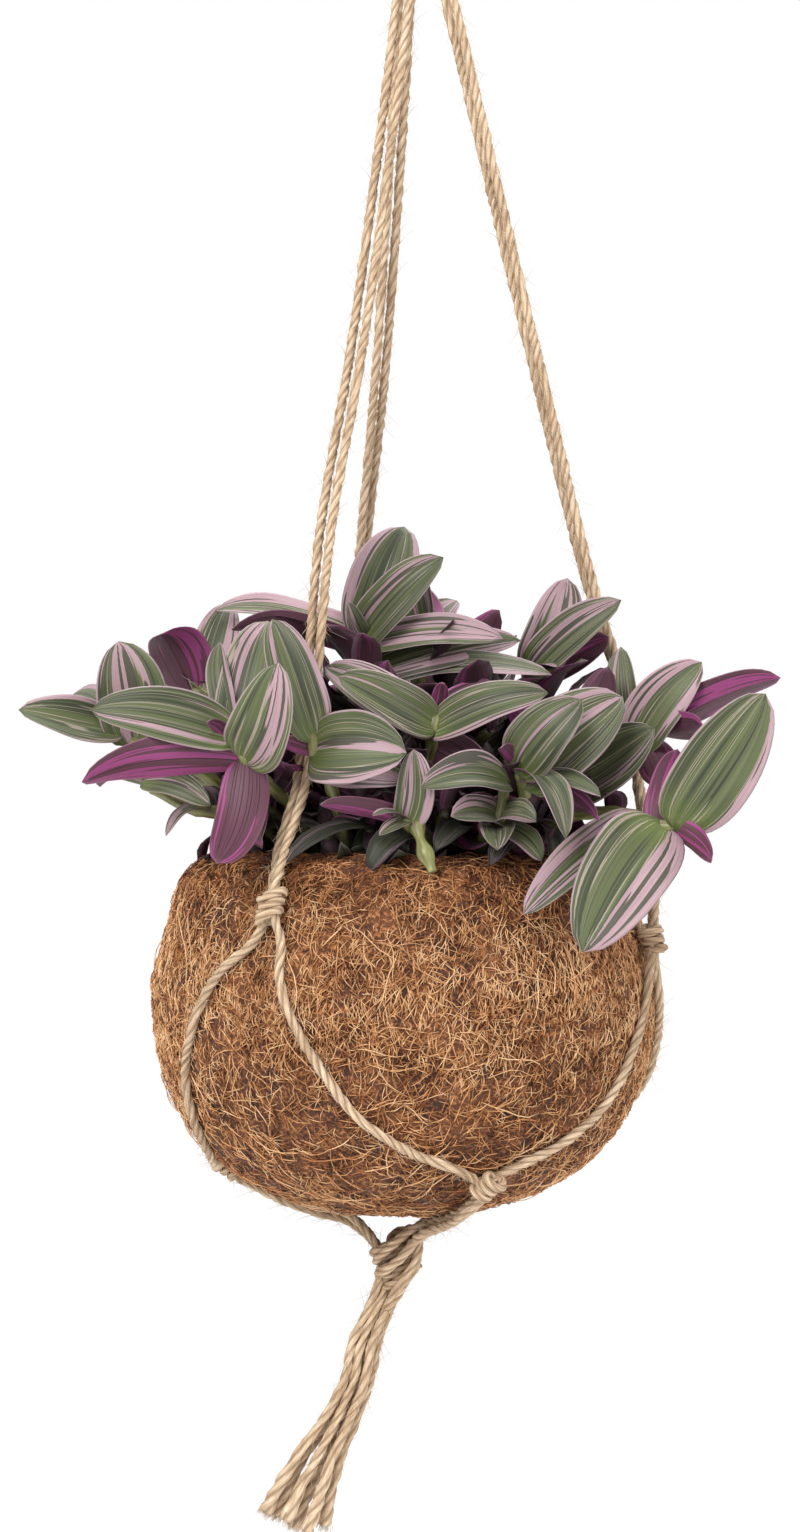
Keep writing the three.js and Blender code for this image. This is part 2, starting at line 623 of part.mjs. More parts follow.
// A cord ends where it meets the knots that it runs into.
function placeCord(name, route, steps, knotNames) {
  let cord = bar(route, cordRadius, cordSides, steps);
  for (const knotName of knotNames) cord = cord.subtract(knotRooms[knotName]);
  place(name, mainBody(cord), jute);
}

[-loopSpacing, 0, loopSpacing].forEach((y, i) => {
  placeCord(`loop_cord_${i + 1}`, loopRoute(y), 9, ['top_knot']);
});
for (const side of Object.keys(legRoutes)) {
  [-1, 1].forEach((sign, i) => {
    const route = legRoute(side, sign * legOffset);
    placeCord(`leg_cord_${side}_${i + 1}`, route, 7, ['top_knot', `shoulder_knot_${side}`]);
  });
}
for (const [from, to] of netCords) {
  const names = [`shoulder_knot_${from}`, `lower_knot_${to}`];
  placeCord(`net_cord_${from}_to_${to}`, netRoute(from, to), 9, names);
}
for (const side of Object.keys(lowerAzimuths)) {
  [-1, 1].forEach((sign, i) => {
    const names = [`lower_knot_${side}`, 'bottom_knot'];
    placeCord(`under_cord_${side}_${i + 1}`, underRoute(side, sign), 5, names);
  });
}
for (let i = 0; i < tasselEnds.length; i += 1) {
  placeCord(`tassel_strand_${i + 1}`, tasselRoute(i), 7, ['bottom_knot']);
}
for (const [name, stem] of Object.entries(stems)) {
  place(`leafy_stem_${name}`, leafyStemSolid(stem), foliage);
}

export default group;
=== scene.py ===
import math

import bpy
import numpy as np
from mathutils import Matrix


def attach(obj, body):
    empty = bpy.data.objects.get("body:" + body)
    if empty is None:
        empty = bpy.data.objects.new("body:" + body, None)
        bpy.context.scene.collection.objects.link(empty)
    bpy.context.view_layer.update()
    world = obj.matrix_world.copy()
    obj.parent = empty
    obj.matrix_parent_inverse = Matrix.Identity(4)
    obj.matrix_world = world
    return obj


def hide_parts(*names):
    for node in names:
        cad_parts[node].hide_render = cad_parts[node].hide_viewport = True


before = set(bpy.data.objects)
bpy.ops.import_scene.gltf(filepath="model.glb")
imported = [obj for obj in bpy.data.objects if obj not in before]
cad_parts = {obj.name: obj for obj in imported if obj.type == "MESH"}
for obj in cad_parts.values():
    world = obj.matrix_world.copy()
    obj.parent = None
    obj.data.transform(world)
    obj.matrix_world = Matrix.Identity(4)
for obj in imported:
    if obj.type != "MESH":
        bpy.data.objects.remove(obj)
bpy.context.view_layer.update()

scene = bpy.context.scene

# Camera, light and floor

studio = {
    "cameraPlace": (-1.4, -1300.0, -344.7),
    "lens": 86.05,
    "sensorWidth": 36,
    "backdrop": 1.0,  # how bright the world looks to the camera
    "surroundings": 0.62,  # and how much light it gives
    "floorHeight": -800.0,
    "floorRadius": 2600.0,
    "floorCorners": 96,
    "floorShade": 0.95,
    "floorFade": (0.1, 0.55),  # shares of the radius between which it fades out
    # place, size, strength in watts
    "lights": {
        "key": ((-900, -1500, 700), 1300, 46),
        "fill": ((1300, -1100, -100), 1400, 14),
        "top": ((150, 350, 800), 1000, 16),
    },
    "lightTarget": (0, 0, -400),
}


def show(name, data, place=(0, 0, 0), turn=(0, 0, 0)):
    # An object in the scene, at a place in millimetres.
    item = bpy.data.objects.new(name, data)
    item.location = np.multiply(place, 0.001)
    item.rotation_euler = turn
    scene.collection.objects.link(item)
    return item


def turnedTo(place, target):
    # The turn whose -Z looks from a place to a target.
    away = np.subtract(place, target)
    flat = math.hypot(away[0], away[1])
    return (math.atan2(flat, away[2]), 0, math.atan2(away[0], -away[1]))


camera = bpy.data.cameras.new("camera")
camera.lens = studio["lens"]
camera.sensor_width = studio["sensorWidth"]
scene.camera = show("camera", camera, studio["cameraPlace"], (math.pi / 2, 0, 0))
scene.view_settings.view_transform = "Standard"
for lightName, (place, size, watts) in studio["lights"].items():
    lamp = bpy.data.lights.new(lightName + "Light", "AREA")
    lamp.size = size * 0.001
    lamp.energy = watts
    show(lamp.name, lamp, place, turnedTo(place, studio["lightTarget"]))
print("camera and lights placed")

# Sums with arrays


def unit(v):
    # A vector over its length.
    return v / np.maximum(np.linalg.norm(v, axis=-1, keepdims=True), 1e-9)


def polar(azimuth, radius, z):
    # The point at a radius and height: radius times (sin, -cos) of the azimuth.
    turn = np.radians(azimuth)
    return np.stack(np.broadcast_arrays(radius * np.sin(turn), -radius * np.cos(turn), z), -1).astype(float)


def softNoise(points, size, seed):
    # Noise from -1 to 1: seeded values at lattice corners, blended along each axis by 3t^2 - 2t^3.
    table = np.random.default_rng(seed).uniform(-1, 1, (32, 32, 32))
    cell = np.floor(points / size).astype(int)
    f = points / size - cell
    f = f * f * (3 - 2 * f)
    total = np.zeros(points.shape[:-1])
    for corner in np.ndindex(2, 2, 2):
        weight = np.prod(np.where(np.array(corner) == 1, f, 1 - f), axis=-1)
        pick = (cell + corner) % 32
        total += weight * table[pick[..., 0], pick[..., 1], pick[..., 2]]
    return total


def smoothCurve(points, spacing):
    # A centripetal Catmull-Rom curve: cubic spans whose end slopes weigh the spans on both sides
    # by the roots of their lengths. It is sampled finely and spaced evenly again.
    p = np.array(points, float)
    p = np.vstack([2 * p[0] - p[1], p, 2 * p[-1] - p[-2]])
    root = np.sqrt(np.linalg.norm(np.diff(p, axis=0), axis=1))[:, None]
    a, b, c, d = p[:-3], p[1:-2], p[2:-1], p[3:]
    before, here, after = root[:-2], root[1:-1], root[2:]
    startSlope = here * ((b - a) / before - (c - a) / (before + here) + (c - b) / here)
    endSlope = here * ((c - b) / here - (d - b) / (here + after) + (d - c) / after)
    t = np.linspace(0, 1, 40, endpoint=False)[None, :, None]
    b, c, startSlope, endSlope = (x[:, None] for x in (b, c, startSlope, endSlope))
    spans = b + startSlope * t + (3 * (c - b) - 2 * startSlope - endSlope) * t**2
    spans = spans + (2 * (b - c) + startSlope + endSlope) * t**3
    fine = np.vstack([spans.reshape(-1, 3), p[-2]])
    along = np.concatenate([[0], np.cumsum(np.linalg.norm(np.diff(fine, axis=0), axis=1))])
    wanted = np.linspace(0, along[-1], max(3, int(round(along[-1] / spacing)) + 1))
    return np.stack([np.interp(wanted, along, fine[:, k]) for k in range(3)], -1), wanted


def framesBeside(paths, side):
    # Each point's tangent, the part of side that is square to it, and the third direction.
    tangent = unit(np.gradient(paths, axis=-2))
    across = unit(side - tangent * np.sum(side * tangent, -1, keepdims=True))
    return tangent, across, np.cross(tangent, across)


def framesCarried(path):
    # As above, with one direction carried from ring to ring so that it never twists.
    tangent = unit(np.gradient(path, axis=0))
    across = np.empty_like(tangent)
    across[0] = unit(np.cross(tangent[0], (0.3, 1, 0.1)))
    for i in range(1, len(path)):
        across[i] = unit(across[i - 1] - tangent[i] * (across[i - 1] @ tangent[i]))
    return tangent, across, np.cross(tangent, across)


def circled(a, b, angle):
    # From a towards b by an angle: a cos + b sin.
    return a * np.cos(angle) + b * np.sin(angle)


def tubes(rings, along, look, across=None, material=0):
    # A batch of tubes for tubeMesh: rings is (tubes, rings, sides, xyz), along gives each ring's
    # second UV value, across each side's first one, and look three values for a whole tube.
    across = np.linspace(0, 1, rings.shape[2] + 1) if across is None else across
    return {"rings": rings, "along": along, "look": look, "across": across, "material": material}


def tubeMesh(name, batches, materials):
    # Every tube is a grid of quads closed round its sides, with a fan of triangles onto the middle
    # of its first and last ring. Points count on from tube to tube.
    points, looks = [], []
    faces = {4: ([], [], []), 3: ([], [], [])}  # points, UVs and material, by the number of corners
    start = 0
    for batch in batches:
        rings, across = batch["rings"], batch["across"]
        count, rows, sides, _ = rings.shape
        ends = rings[:, [0, -1]].mean(axis=2)
        points.append(np.concatenate([rings.reshape(count, -1, 3), ends], axis=1).reshape(-1, 3))
        size = rows * sides + 2
        look = np.broadcast_to(np.asarray(batch["look"], float), (count, 3))
        looks.append(np.repeat(look, size, axis=0))
        along = np.broadcast_to(batch["along"], (count, rows))
        row, column = (g.ravel() for g in np.meshgrid(np.arange(rows - 1), np.arange(sides), indexing="ij"))
        row = np.stack([row, row, row + 1, row + 1], 1)
        column = np.stack([column, column + 1, column + 1, column], 1)
        side = np.arange(sides)
        following = (side + 1) % sides
        lastRow = (rows - 1) * sides
        fans = np.concatenate([
            np.stack([np.full(sides, rows * sides), following, side], 1),
            np.stack([np.full(sides, rows * sides + 1), lastRow + side, lastRow + following], 1)])
        middle = (across[:-1] + across[1:]) / 2
        fanAcross = np.concatenate([
            np.stack([middle, across[1:], across[:-1]], 1), np.stack([middle, across[:-1], across[1:]], 1)])
        fanAlong = along[:, [0, -1]].repeat(sides, axis=1)[..., None]
        offset = start + size * np.arange(count)[:, None, None]
        for corners, face, uv in (
                (4, row * sides + column % sides, (across[column][None], along[:, row])),
                (3, fans, (fanAcross[None], fanAlong))):
            faces[corners][0].append((face + offset).reshape(-1, corners))
            faces[corners][1].append(np.stack(np.broadcast_arrays(*uv), -1).reshape(-1, 2))
            faces[corners][2].append(np.full(count * len(face), batch["material"]))
        start += size * count
    quads, fans = (np.concatenate(faces[corners][0]) for corners in (4, 3))
    uvs, numbers = (np.concatenate(faces[4][k] + faces[3][k]) for k in (1, 2))
    points = np.concatenate(points)
    corners = np.concatenate([quads.ravel(), fans.ravel()]).astype(np.int32)
    starts = np.concatenate([4 * np.arange(len(quads)), 4 * len(quads) + 3 * np.arange(len(fans))])
    mesh = bpy.data.meshes.new(name)
    mesh.vertices.add(len(points))
    mesh.vertices.foreach_set("co", (points * 0.001).ravel())
    mesh.loops.add(len(corners))
    mesh.loops.foreach_set("vertex_index", corners)
    mesh.polygons.add(len(starts))
    mesh.polygons.foreach_set("loop_start", starts.astype(np.int32))
    mesh.polygons.foreach_set("material_index", numbers.astype(np.int32))
    mesh.polygons.foreach_set("use_smooth", np.ones(len(starts), bool))
    mesh.update(calc_edges=True)
    mesh.uv_layers.new(name="surface").data.foreach_set("uv", uvs.astype(np.float32).ravel())
    layer = mesh.attributes.new("look", "FLOAT_VECTOR", "POINT")
    layer.data.foreach_set("vector", np.concatenate(looks).astype(np.float32).ravel())
    for material in materials:
        mesh.materials.append(material)
    piece = show(name, mesh)
    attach(piece, "root")
    return piece


def roundRings(paths, frames, radius, sides):
    # Circles of a radius round each point of each path.
    angle = 2 * np.pi * np.arange(sides)[:, None] / sides
    _, across, third = frames
    circle = circled(across[..., None, :], third[..., None, :], angle)
    return paths[..., None, :] + circle * np.asarray(radius)[..., None, None]


def hairs(paths, outward, radius, tones, seeds, reach):
    # A batch of thin three-sided tubes, whose second UV value ends at reach.
    rings = roundRings(paths, framesBeside(paths, outward[:, None]), radius, 3)
    look = np.stack([tones, np.zeros(len(tones)), seeds], 1)
    return tubes(rings, np.linspace(0, reach, paths.shape[1]), look)


# Materials


def shade(red, green, blue):
    # A colour from its 0 to 255 screen values: ((c / 255 + 0.055) / 1.055) ^ 2.4.
    return tuple(((c / 255 + 0.055) / 1.055) ** 2.4 for c in (red, green, blue)) + (1,)


def begin(newTree):
    # New nodes go into this tree from here on.
    global tree
    tree = newTree


def feed(node, inputs):
    # Each input of a node is set to its value or linked to its socket.
    for key, value in inputs.items():
        if isinstance(value, bpy.types.NodeSocket):
            tree.links.new(value, node.inputs[key])
        else:
            node.inputs[key].default_value = value


def put(kind, inputs=None, **settings):
    # A new node with its settings and inputs.
    node = tree.nodes.new("ShaderNode" + kind)
    for key, value in settings.items():
        setattr(node, key, value)
    feed(node, inputs or {})
    return node


def calc(operation, a, b=0.0, c=0.0):
    # One sum of up to three numbers.
    return put("Math", {0: a, 1: b, 2: c}, operation=operation).outputs[0]


def times(a, b):
    # a b
    return calc("MULTIPLY", a, b)


def timesPlus(a, b, c):
    # a b + c
    return calc("MULTIPLY_ADD", a, b, c)


def blend(factor, a, b, mode="MIX"):
    # Two colours mixed by a factor.
    return put("Mix", {0: factor, 6: a, 7: b}, data_type="RGBA", blend_type=mode).outputs[2]


def dimmed(color, strength):
    # A colour times a strength.
    grey = put("CombineColor", {0: strength, 1: strength, 2: strength}).outputs[0]
    return blend(1.0, color, grey, "MULTIPLY")


def stepUp(value, low, high):
    # 0 below low, 1 above high and a smooth step between them.
    inputs = {"Value": value, "From Min": low, "From Max": high}
    return put("MapRange", inputs, interpolation_type="SMOOTHSTEP").outputs[0]


def ramp(factor, tones):
    # Colours along a factor: tones gives the screen values at each place.
    node = put("ValToRGB", {"Fac": factor})
    elements = node.color_ramp.elements
    places = sorted(tones)
    elements[0].position, elements[1].position = places[0], places[-1]
    for place in places[1:-1]:
        elements.new(place)
    for element, place in zip(elements, places):
        element.color = shade(*tones[place])
    return node.outputs["Color"]


def newGroup(name, inputs):
    # A node group with named number inputs that gives one value.
    group = bpy.data.node_groups.new(name, "ShaderNodeTree")
    begin(group)
    for socketName, value in inputs.items():
        socket = group.interface.new_socket(socketName, in_out="INPUT", socket_type="NodeSocketFloat")
        socket.default_value = value
    group.interface.new_socket("Value", in_out="OUTPUT", socket_type="NodeSocketFloat")
    return group, group.nodes.new("NodeGroupInput").outputs, group.nodes.new("NodeGroupOutput").inputs[0]


def noiseAt(x, y, z, detail=0.0):
    # Noise read at a point made of three numbers, at scale 1.
    vector = put("CombineXYZ", {0: x, 1: y, 2: z}).outputs[0]
    return put("TexNoise", {"Vector": vector, "Scale": 1.0, "Detail": detail}).outputs["Fac"]


# Streaks that run along a surface: noise drawn out along the second UV direction.
streakGroup, entry, leave = newGroup(
    "streaks", {"Across": 0, "Along": 0, "Fineness": 10, "Stretch": 8, "Slant": 0, "Seed": 0})
acrossFine = times(timesPlus(entry["Along"], entry["Slant"], entry["Across"]), entry["Fineness"])
alongFine = calc("DIVIDE", times(entry["Along"], entry["Fineness"]), entry["Stretch"])
tree.links.new(noiseAt(acrossFine, alongFine, entry["Seed"], 2.0), leave)

# Patches over the whole object: noise in Object coordinates, with a size in millimetres.
patchGroup, entry, leave = newGroup("patches", {"Size": 10, "Seed": 0, "Low": 0.35, "High": 0.65})
place = put("TexCoord").outputs["Object"]
scale = calc("DIVIDE", 1000.0, entry["Size"])
scaled = put("VectorMath", {0: place, 3: scale}, operation="SCALE").outputs[0]
shift = put("CombineXYZ", {0: entry["Seed"]}).outputs[0]
moved = put("VectorMath", {0: scaled, 1: shift}).outputs[0]
noise = put("TexNoise", {"Vector": moved, "Scale": 1.0, "Detail": 3.0}).outputs["Fac"]
tree.links.new(stepUp(noise, entry["Low"], entry["High"]), leave)


def streaks(uv, look, fineness, stretch, slant=0.0):
    # The streaks on a surface, different for each tube.
    inputs = {"Across": uv[0], "Along": uv[1], "Fineness": fineness, "Stretch": stretch, "Slant": slant,
              "Seed": look[2]}
    return put("Group", inputs, node_tree=streakGroup).outputs[0]


def patches(size, seed, low=0.35, high=0.65):
    # The patches of a size; low and high are the noise's values where they begin and are full.
    inputs = {"Size": size, "Seed": seed, "Low": low, "High": high}
    return put("Group", inputs, node_tree=patchGroup).outputs[0]


def newMaterial(name):
    # A material, its surface UV values and its look values.
    material = bpy.data.materials.new(name)
    material.use_nodes = True
    begin(material.node_tree)
    surface = put("UVMap", uv_map="surface").outputs[0]
    looks = put("Attribute", attribute_name="look").outputs["Vector"]
    uv, look = (put("SeparateXYZ", {0: vector}).outputs for vector in (surface, looks))
    return material, uv, look


def finish(material, inputs, height=None, strength=1.0, distance=1.0):
    # The material with its shader's inputs, and a height that moves its normal over a distance in
    # millimetres.
    if height is not None:
        bump = put("Bump", {"Height": height, "Strength": strength, "Distance": distance * 0.001})
        inputs["Normal"] = bump.outputs[0]
    feed(tree.nodes["Principled BSDF"], inputs)
    return material


# Screen values along each material's tone.
juteTones = {0.42: (122, 97, 73), 0.64: (174, 147, 118), 0.84: (206, 182, 154), 1.0: (222, 202, 176)}
fibreTones = {
    0.0: (52, 26, 14), 0.25: (122, 70, 38), 0.5: (174, 117, 71), 0.75: (208, 156, 106), 1.0: (228, 188, 144)}
# The mat's tones are the coir's brown, darker than the strands' as painted shade between them.
shadedMatTones = {0.0: (44, 23, 13), 0.6: (114, 66, 36), 1.0: (160, 106, 62)}
soilTones = {0.0: (26, 19, 15), 0.7: (58, 42, 31), 1.0: (104, 80, 58)}
stemTones = {0.3: (96, 66, 58), 0.42: (108, 108, 62), 0.6: (134, 136, 84), 0.8: (160, 158, 114)}


def makeJute():
    # Plies with fine slanting fibres, with painted shade in the grooves between plies as strong as look.y;
    # look.x shifts the tone.
    material, uv, look = newMaterial("twistedJute")
    fibre = streaks(uv, look, 26.0, 20.0, 0.2)
    coarse = streaks(uv, look, 8.0, 5.0, 0.35)
    tone = timesPlus(coarse, 0.6, timesPlus(fibre, 0.75, look[0]))
    color = ramp(timesPlus(patches(26.0, 3.0), 0.12, tone), juteTones)
    # Painted shade: the grooves between plies are darkened towards the darkest jute tone.
    crown = calc("PINGPONG", times(uv[0], 3.0), 0.5)
    grooveShade = times(stepUp(crown, 0.22, 0.52), look[1])
    color = blend(grooveShade, color, shade(*juteTones[0.42]))
    inputs = {"Base Color": color, "Roughness": 0.85, "Specular IOR Level": 0.25}
    return finish(material, inputs, fibre, 0.6, 0.25)


def makeCoirFibre():
    # One colour a strand from look.x, paler and darker in places, with dark flecks and streaks.
    material, uv, look = newMaterial("coirFibre")
    tone = timesPlus(streaks(uv, look, 3.0, 2.0), 0.2, look[0])
    patch = patches(14.0, 8.0, 0.3, 0.7)
    tone = timesPlus(patch, 0.26, calc("SUBTRACT", tone, 0.1))
    tone = timesPlus(patches(3.4, 21.0, 0.53, 0.66), -0.38, tone)
    color = ramp(tone, fibreTones)
    return finish(material, {"Base Color": color, "Roughness": 0.6, "Specular IOR Level": 0.35})


def makeCoirMat():
    # The matted ground under the strands: the coir's brown, dark as painted shade between the strands, with
    # fine lighter threads.
    material, _, _ = newMaterial("coirMat")
    thread = patches(1.3, 5.0, 0.4, 0.62)
    tone = timesPlus(thread, 0.6, times(patches(12.0, 2.0), 0.4))
    return finish(material, {"Base Color": ramp(tone, shadedMatTones), "Roughness": 0.9}, thread, 0.9, 0.8)


def makeSoil():
    # Dark crumbs with brown specks.
    material, _, _ = newMaterial("pottingSoil")
    speck = patches(2.2, 1.0, 0.45, 0.7)
    return finish(material, {"Base Color": ramp(speck, soilTones), "Roughness": 0.95}, speck, 0.9, 0.9)


leafLook = {
    "darkGreen": shade(50, 56, 36), "green": shade(78, 86, 52), "paleGreen": shade(108, 114, 84),
    "fresh": shade(96, 113, 48), "line": shade(154, 141, 128), "pink": shade(148, 115, 125),
    "palePink": shade(171, 146, 150), "plum": shade(88, 50, 65), "deepPlum": shade(47, 26, 31),
    "magenta": shade(143, 62, 114), "underPink": shade(150, 98, 120),
}


def makeLeaf():
    # Stripes at fixed shares of the width, which so close up at base and tip. Pink is where a slow
    # noise across rises over a limit: it is raised towards the tip, the margins and the side that
    # look.x is signed for, and the size of look.x lowers the limit. Finer noises give the dark
    # streaks in the pink and the pale lines in the green. look.y is the brightness. The first UV
    # value runs over the upper side to 0.5 and back under it to 1.
    material, uv, look = newMaterial("stripedLeaf")
    x = calc("SUBTRACT", 1.0, calc("ABSOLUTE", timesPlus(uv[0], 4.0, -2.0)))
    t = uv[1]
    seed = look[2]
    under = calc("GREATER_THAN", uv[0], 0.5)

    def bands(fineness, stretch, shift, detail=0.0):
        return noiseAt(times(x, fineness), times(t, stretch), calc("ADD", seed, shift), detail)

    outward = calc("ABSOLUTE", x)
    coarseness = timesPlus(calc("FRACT", times(seed, 0.37)), 1.6, 1.1)
    sector = noiseAt(times(x, coarseness), times(t, 0.35), seed)
    sector = timesPlus(bands(15.0, 0.7, 71.0), 0.14, sector)
    sector = timesPlus(times(x, calc("SIGN", look[0])), 0.13, sector)
    sector = timesPlus(t, 0.1, timesPlus(outward, 0.06, sector))
    limit = timesPlus(calc("ABSOLUTE", look[0]), -0.28, 0.86)
    pinkPart = stepUp(sector, limit, calc("ADD", limit, 0.02))
    streak = stepUp(bands(8.0, 1.2, 11.0), 0.56, 0.59)
    crest = bands(8.5, 0.5, 23.0)
    lines = calc("SUBTRACT", stepUp(crest, 0.565, 0.59), stepUp(crest, 0.62, 0.65))
    fine = stepUp(bands(20.0, 0.8, 37.0, 1.0), 0.4, 0.7)
    darker = stepUp(bands(6.0, 0.7, 51.0), 0.36, 0.62)
    grain = bands(34.0, 2.0, 5.0, 2.0)
    nearBase = calc("SUBTRACT", 1.0, stepUp(t, 0.02, 0.34))
    green = blend(darker, leafLook["darkGreen"], leafLook["green"])
    green = blend(times(fine, 0.4), green, leafLook["paleGreen"])
    green = blend(times(nearBase, 0.6), green, leafLook["fresh"])
    striped = blend(times(lines, 0.85), green, leafLook["line"])
    pink = blend(grain, leafLook["pink"], leafLook["palePink"])
    pink = blend(times(streak, 0.9), pink, leafLook["darkGreen"])
    top = blend(pinkPart, striped, pink)
    edge = stepUp(outward, 0.93, 0.965)
    top = blend(times(edge, 0.85), top, leafLook["palePink"])
    below = blend(lines, leafLook["plum"], leafLook["deepPlum"])
    # Under the pink parts and at the margins the underside turns magenta: partly its own colour and partly a
    # painted glow of light shining through the leaf.
    lit = blend(streak, leafLook["magenta"], leafLook["plum"])
    below = blend(pinkPart, below, lit)
    below = blend(times(edge, 0.6), below, leafLook["underPink"])
    color = blend(under, top, below)
    # look.y dims the colour; it is low on fill, skirt and extra leaves as painted shade.
    inputs = {
        "Base Color": dimmed(color, timesPlus(grain, 0.3, look[1])),
        "Roughness": timesPlus(grain, 0.25, 0.36), "Specular IOR Level": 0.34, "Sheen Weight": 0.05}
    return finish(material, inputs, calc("ADD", grain, lines), 0.35, 0.3)


def makeStem():
    # Olive with faint purple streaks along it, darker towards the root, partly as painted shade deep in the
    # foliage and partly as older, browner stem; look.y is the brightness, which is low on fill and skirt
    # stems as painted shade.
    material, uv, look = newMaterial("oliveStem")
    streak = streaks(uv, look, 9.0, 9.0)
    # Painted shade and older, browner colour: the stem darkens towards its root.
    grown = timesPlus(stepUp(uv[1], 1.5, 6.0), 0.82, 0.18)
    color = dimmed(ramp(streak, stemTones), times(grown, look[1]))
    return finish(material, {"Base Color": color, "Roughness": 0.45}, streak, 0.4, 0.3)


juteMaterial = makeJute()
fibreMaterial = makeCoirFibre()
matMaterial = makeCoirMat()
soilMaterial = makeSoil()
leafMaterial = makeLeaf()
stemMaterial = makeStem()
print("materials made")

# The ball's surface

ball = {"radius": 88.5, "middle": -420.0, "rise": 45.5, "drop": 82.0, "shoulder": 8.0, "bottom": 2.45,
        "taper": 0.14, "wall": 9.0, "mouth": -374.5}
ballMiddle = np.array([0, 0, ball["middle"]])


def halfOf(above):
    # Exponent, height and taper of the profile above or below its middle.
    pairs = ((ball["shoulder"], ball["bottom"]), (ball["rise"], ball["drop"]), (ball["taper"], 0.0))
    return [np.where(above, *pair) for pair in pairs]


def ballRadiusAt(z):
    # Radius at a height: R (1 - t h) (1 - h^p)^(1/p), h from 0 to 1 both ways from the middle.
    up = np.asarray(z, float) - ball["middle"]
    p, height, taper = halfOf(up > 0)
    h = np.clip(np.abs(up) / height, 0, 1)
    return ball["radius"] * (1 - taper * h) * (1 - h**p) ** (1 / p)


def evenProfile(count, last, inset=0.0):
    # Radii and heights at even distances along the profile, from the bottom to an angle above the
    # middle: R sin(a)^(2/p) (1 - t h) and H h, with h = |cos a|^(2/p).
    angle = np.concatenate([np.linspace(1, 90, 300), 90 + (last - 90) * np.linspace(0, 1, 300)[1:] ** 4])
    p, height, taper = halfOf(angle > 90)
    h = np.abs(np.cos(np.radians(angle))) ** (2 / p)
    r = (ball["radius"] - inset) * np.sin(np.radians(angle)) ** (2 / p) * (1 - taper * h)
    z = ball["middle"] + np.where(angle > 90, 1, -1) * (height - inset) * h
    along = np.concatenate([[0], np.cumsum(np.hypot(np.diff(r), np.diff(z)))])
    even = np.linspace(0, along[-1], count)
    return np.interp(even, along, r), np.interp(even, along, z)


def onBall(points, lift):
    # Each point moved along its line from the ball's middle to the surface, which is neared in a
    # few steps, and by lift beyond it.
    v = points - ballMiddle
    flat = np.linalg.norm(v[..., :2], axis=-1) / ball["radius"]
    p, height, taper = halfOf(v[..., 2] > 0)
    rise = np.abs(v[..., 2]) / height
    scale = (flat**p + rise**p) ** (-1 / p)
    for _ in range(4):
        h = np.minimum(rise * scale, 1)
        scale = scale * ((flat * scale / (1 - taper * h)) ** p + h**p) ** (-1 / p)
    scale = scale + lift / np.linalg.norm(v, axis=-1)
    return ballMiddle + v * scale[..., None]


def slopeAt(z):
    # How fast the radius falls with height.
    return (ballRadiusAt(z - 1) - ballRadiusAt(z + 1)) / 2


def offBall(azimuth, z, distance):
    # The point that stands off the surface by a distance along its normal.
    slope = slopeAt(z)
    share = distance / np.hypot(1, slope)
    return polar(azimuth, ballRadiusAt(z) + share, z + slope * share)


# The hanger's cords

hanger = {
    "cordDiameter": 3.5,
    "pitch": 17.0,  # length of one whole turn of the three plies
    "sides": 12,
    "ringSpacing": 1.2,
    "unevenness": 0.2,
    "wander": 0.25,  # how much the plies' turn varies, in turns
    "looseEnd": 95,  # how much of a cord's end is twisted less
    "endSwell": 0.5,  # by which share its cut end is wider
    "legOffset": 2.4,  # from the middle of a pair of cords to each of them, on a leg
    "underOffset": 2.05,  # and under the ball
}
# Azimuth and height of the knots on the ball.
shoulders = {"front": (-31, -393.5), "right": (72, -406.5), "back": (-163, -394)}
lowers = {"front": (23.5, -482), "left": (-110, -484.5), "back": (142, -484)}
shoulderKnots = {side: offBall(*place, 6) for side, place in shoulders.items()}
lowerKnots = {side: offBall(*place, 6.2) for side, place in lowers.items()}
legRoutes = {
    "front": [(2, -2, -37), (1, -3, -60), (-16, -24, -196), (-27, -41, -264), (-31, -50, -310),
              (-35, -56, -351), (-41, -63.5, -372)],
    "right": [(7, -1, -37), (13, -2, -60), (45.2, -4, -196), (67, -6, -285), (75.5, -7, -312),
              (83, -9, -353), (87.5, -17, -386)],
    "back": [(2, 3, -37), (1, 5, -60), (-8, 26, -196), (-16, 49, -276), (-21, 66, -350), (-25, 77, -380)],
}
# Which way the two cords of a leg lie apart, at its top and at its foot.
legSpread = {
    "front": ((1, -0.3, 0), (0.4, -0.9, 0)),
    "right": ((0.7, -0.7, 0), (-0.1, -1, 0)),
    "back": ((1, 0.3, 0), (-0.4, 1, 0)),
}
# A net cord's share of the turn from the leg's azimuth to the lower knot's at each height: of the
# cords in general, and of the one from front to left.
netTurn = [(-404, 0.02, 0.04), (-414, 0.03, 0.14), (-423, 0.065, 0.2), (-432, 0.114, 0.25),
           (-448, 0.23, 0.325), (-461, 0.35, 0.37), (-472, 0.56, 0.42), (-478, 0.77, 0.48), (-482, 0.9, 0.6)]
underCourse = [(51, -497.5), (36, -502.5), (20, -506.5)]  # radius and height of the cords below the ball
# The tassel: height, x of its left, middle and right columns of two strands, and how far its front
# row is shifted one way and its back row the other. Its strands end at these heights.
tasselCourse = np.array([
    (-519, -7.6, -4.2, -0.8, 0), (-529, -9.1, -6.1, -3.1, 0.3), (-539, -13, -9.8, -6.6, 0.7),
    (-549, -17.2, -13.7, -10.2, 0.9), (-563, -20.4, -16.8, -13.1, 1.1), (-577, -27.8, -22.9, -18.3, 1.3),
    (-591, -37.4, -29.8, -24, 1.5), (-602, -43.4, -35.2, -27.6, 1.9), (-618, -51.6, -42, -32.4, 2.6)])
tasselEnds = [-609, -611, -612, -615.5, -616, -614.5]
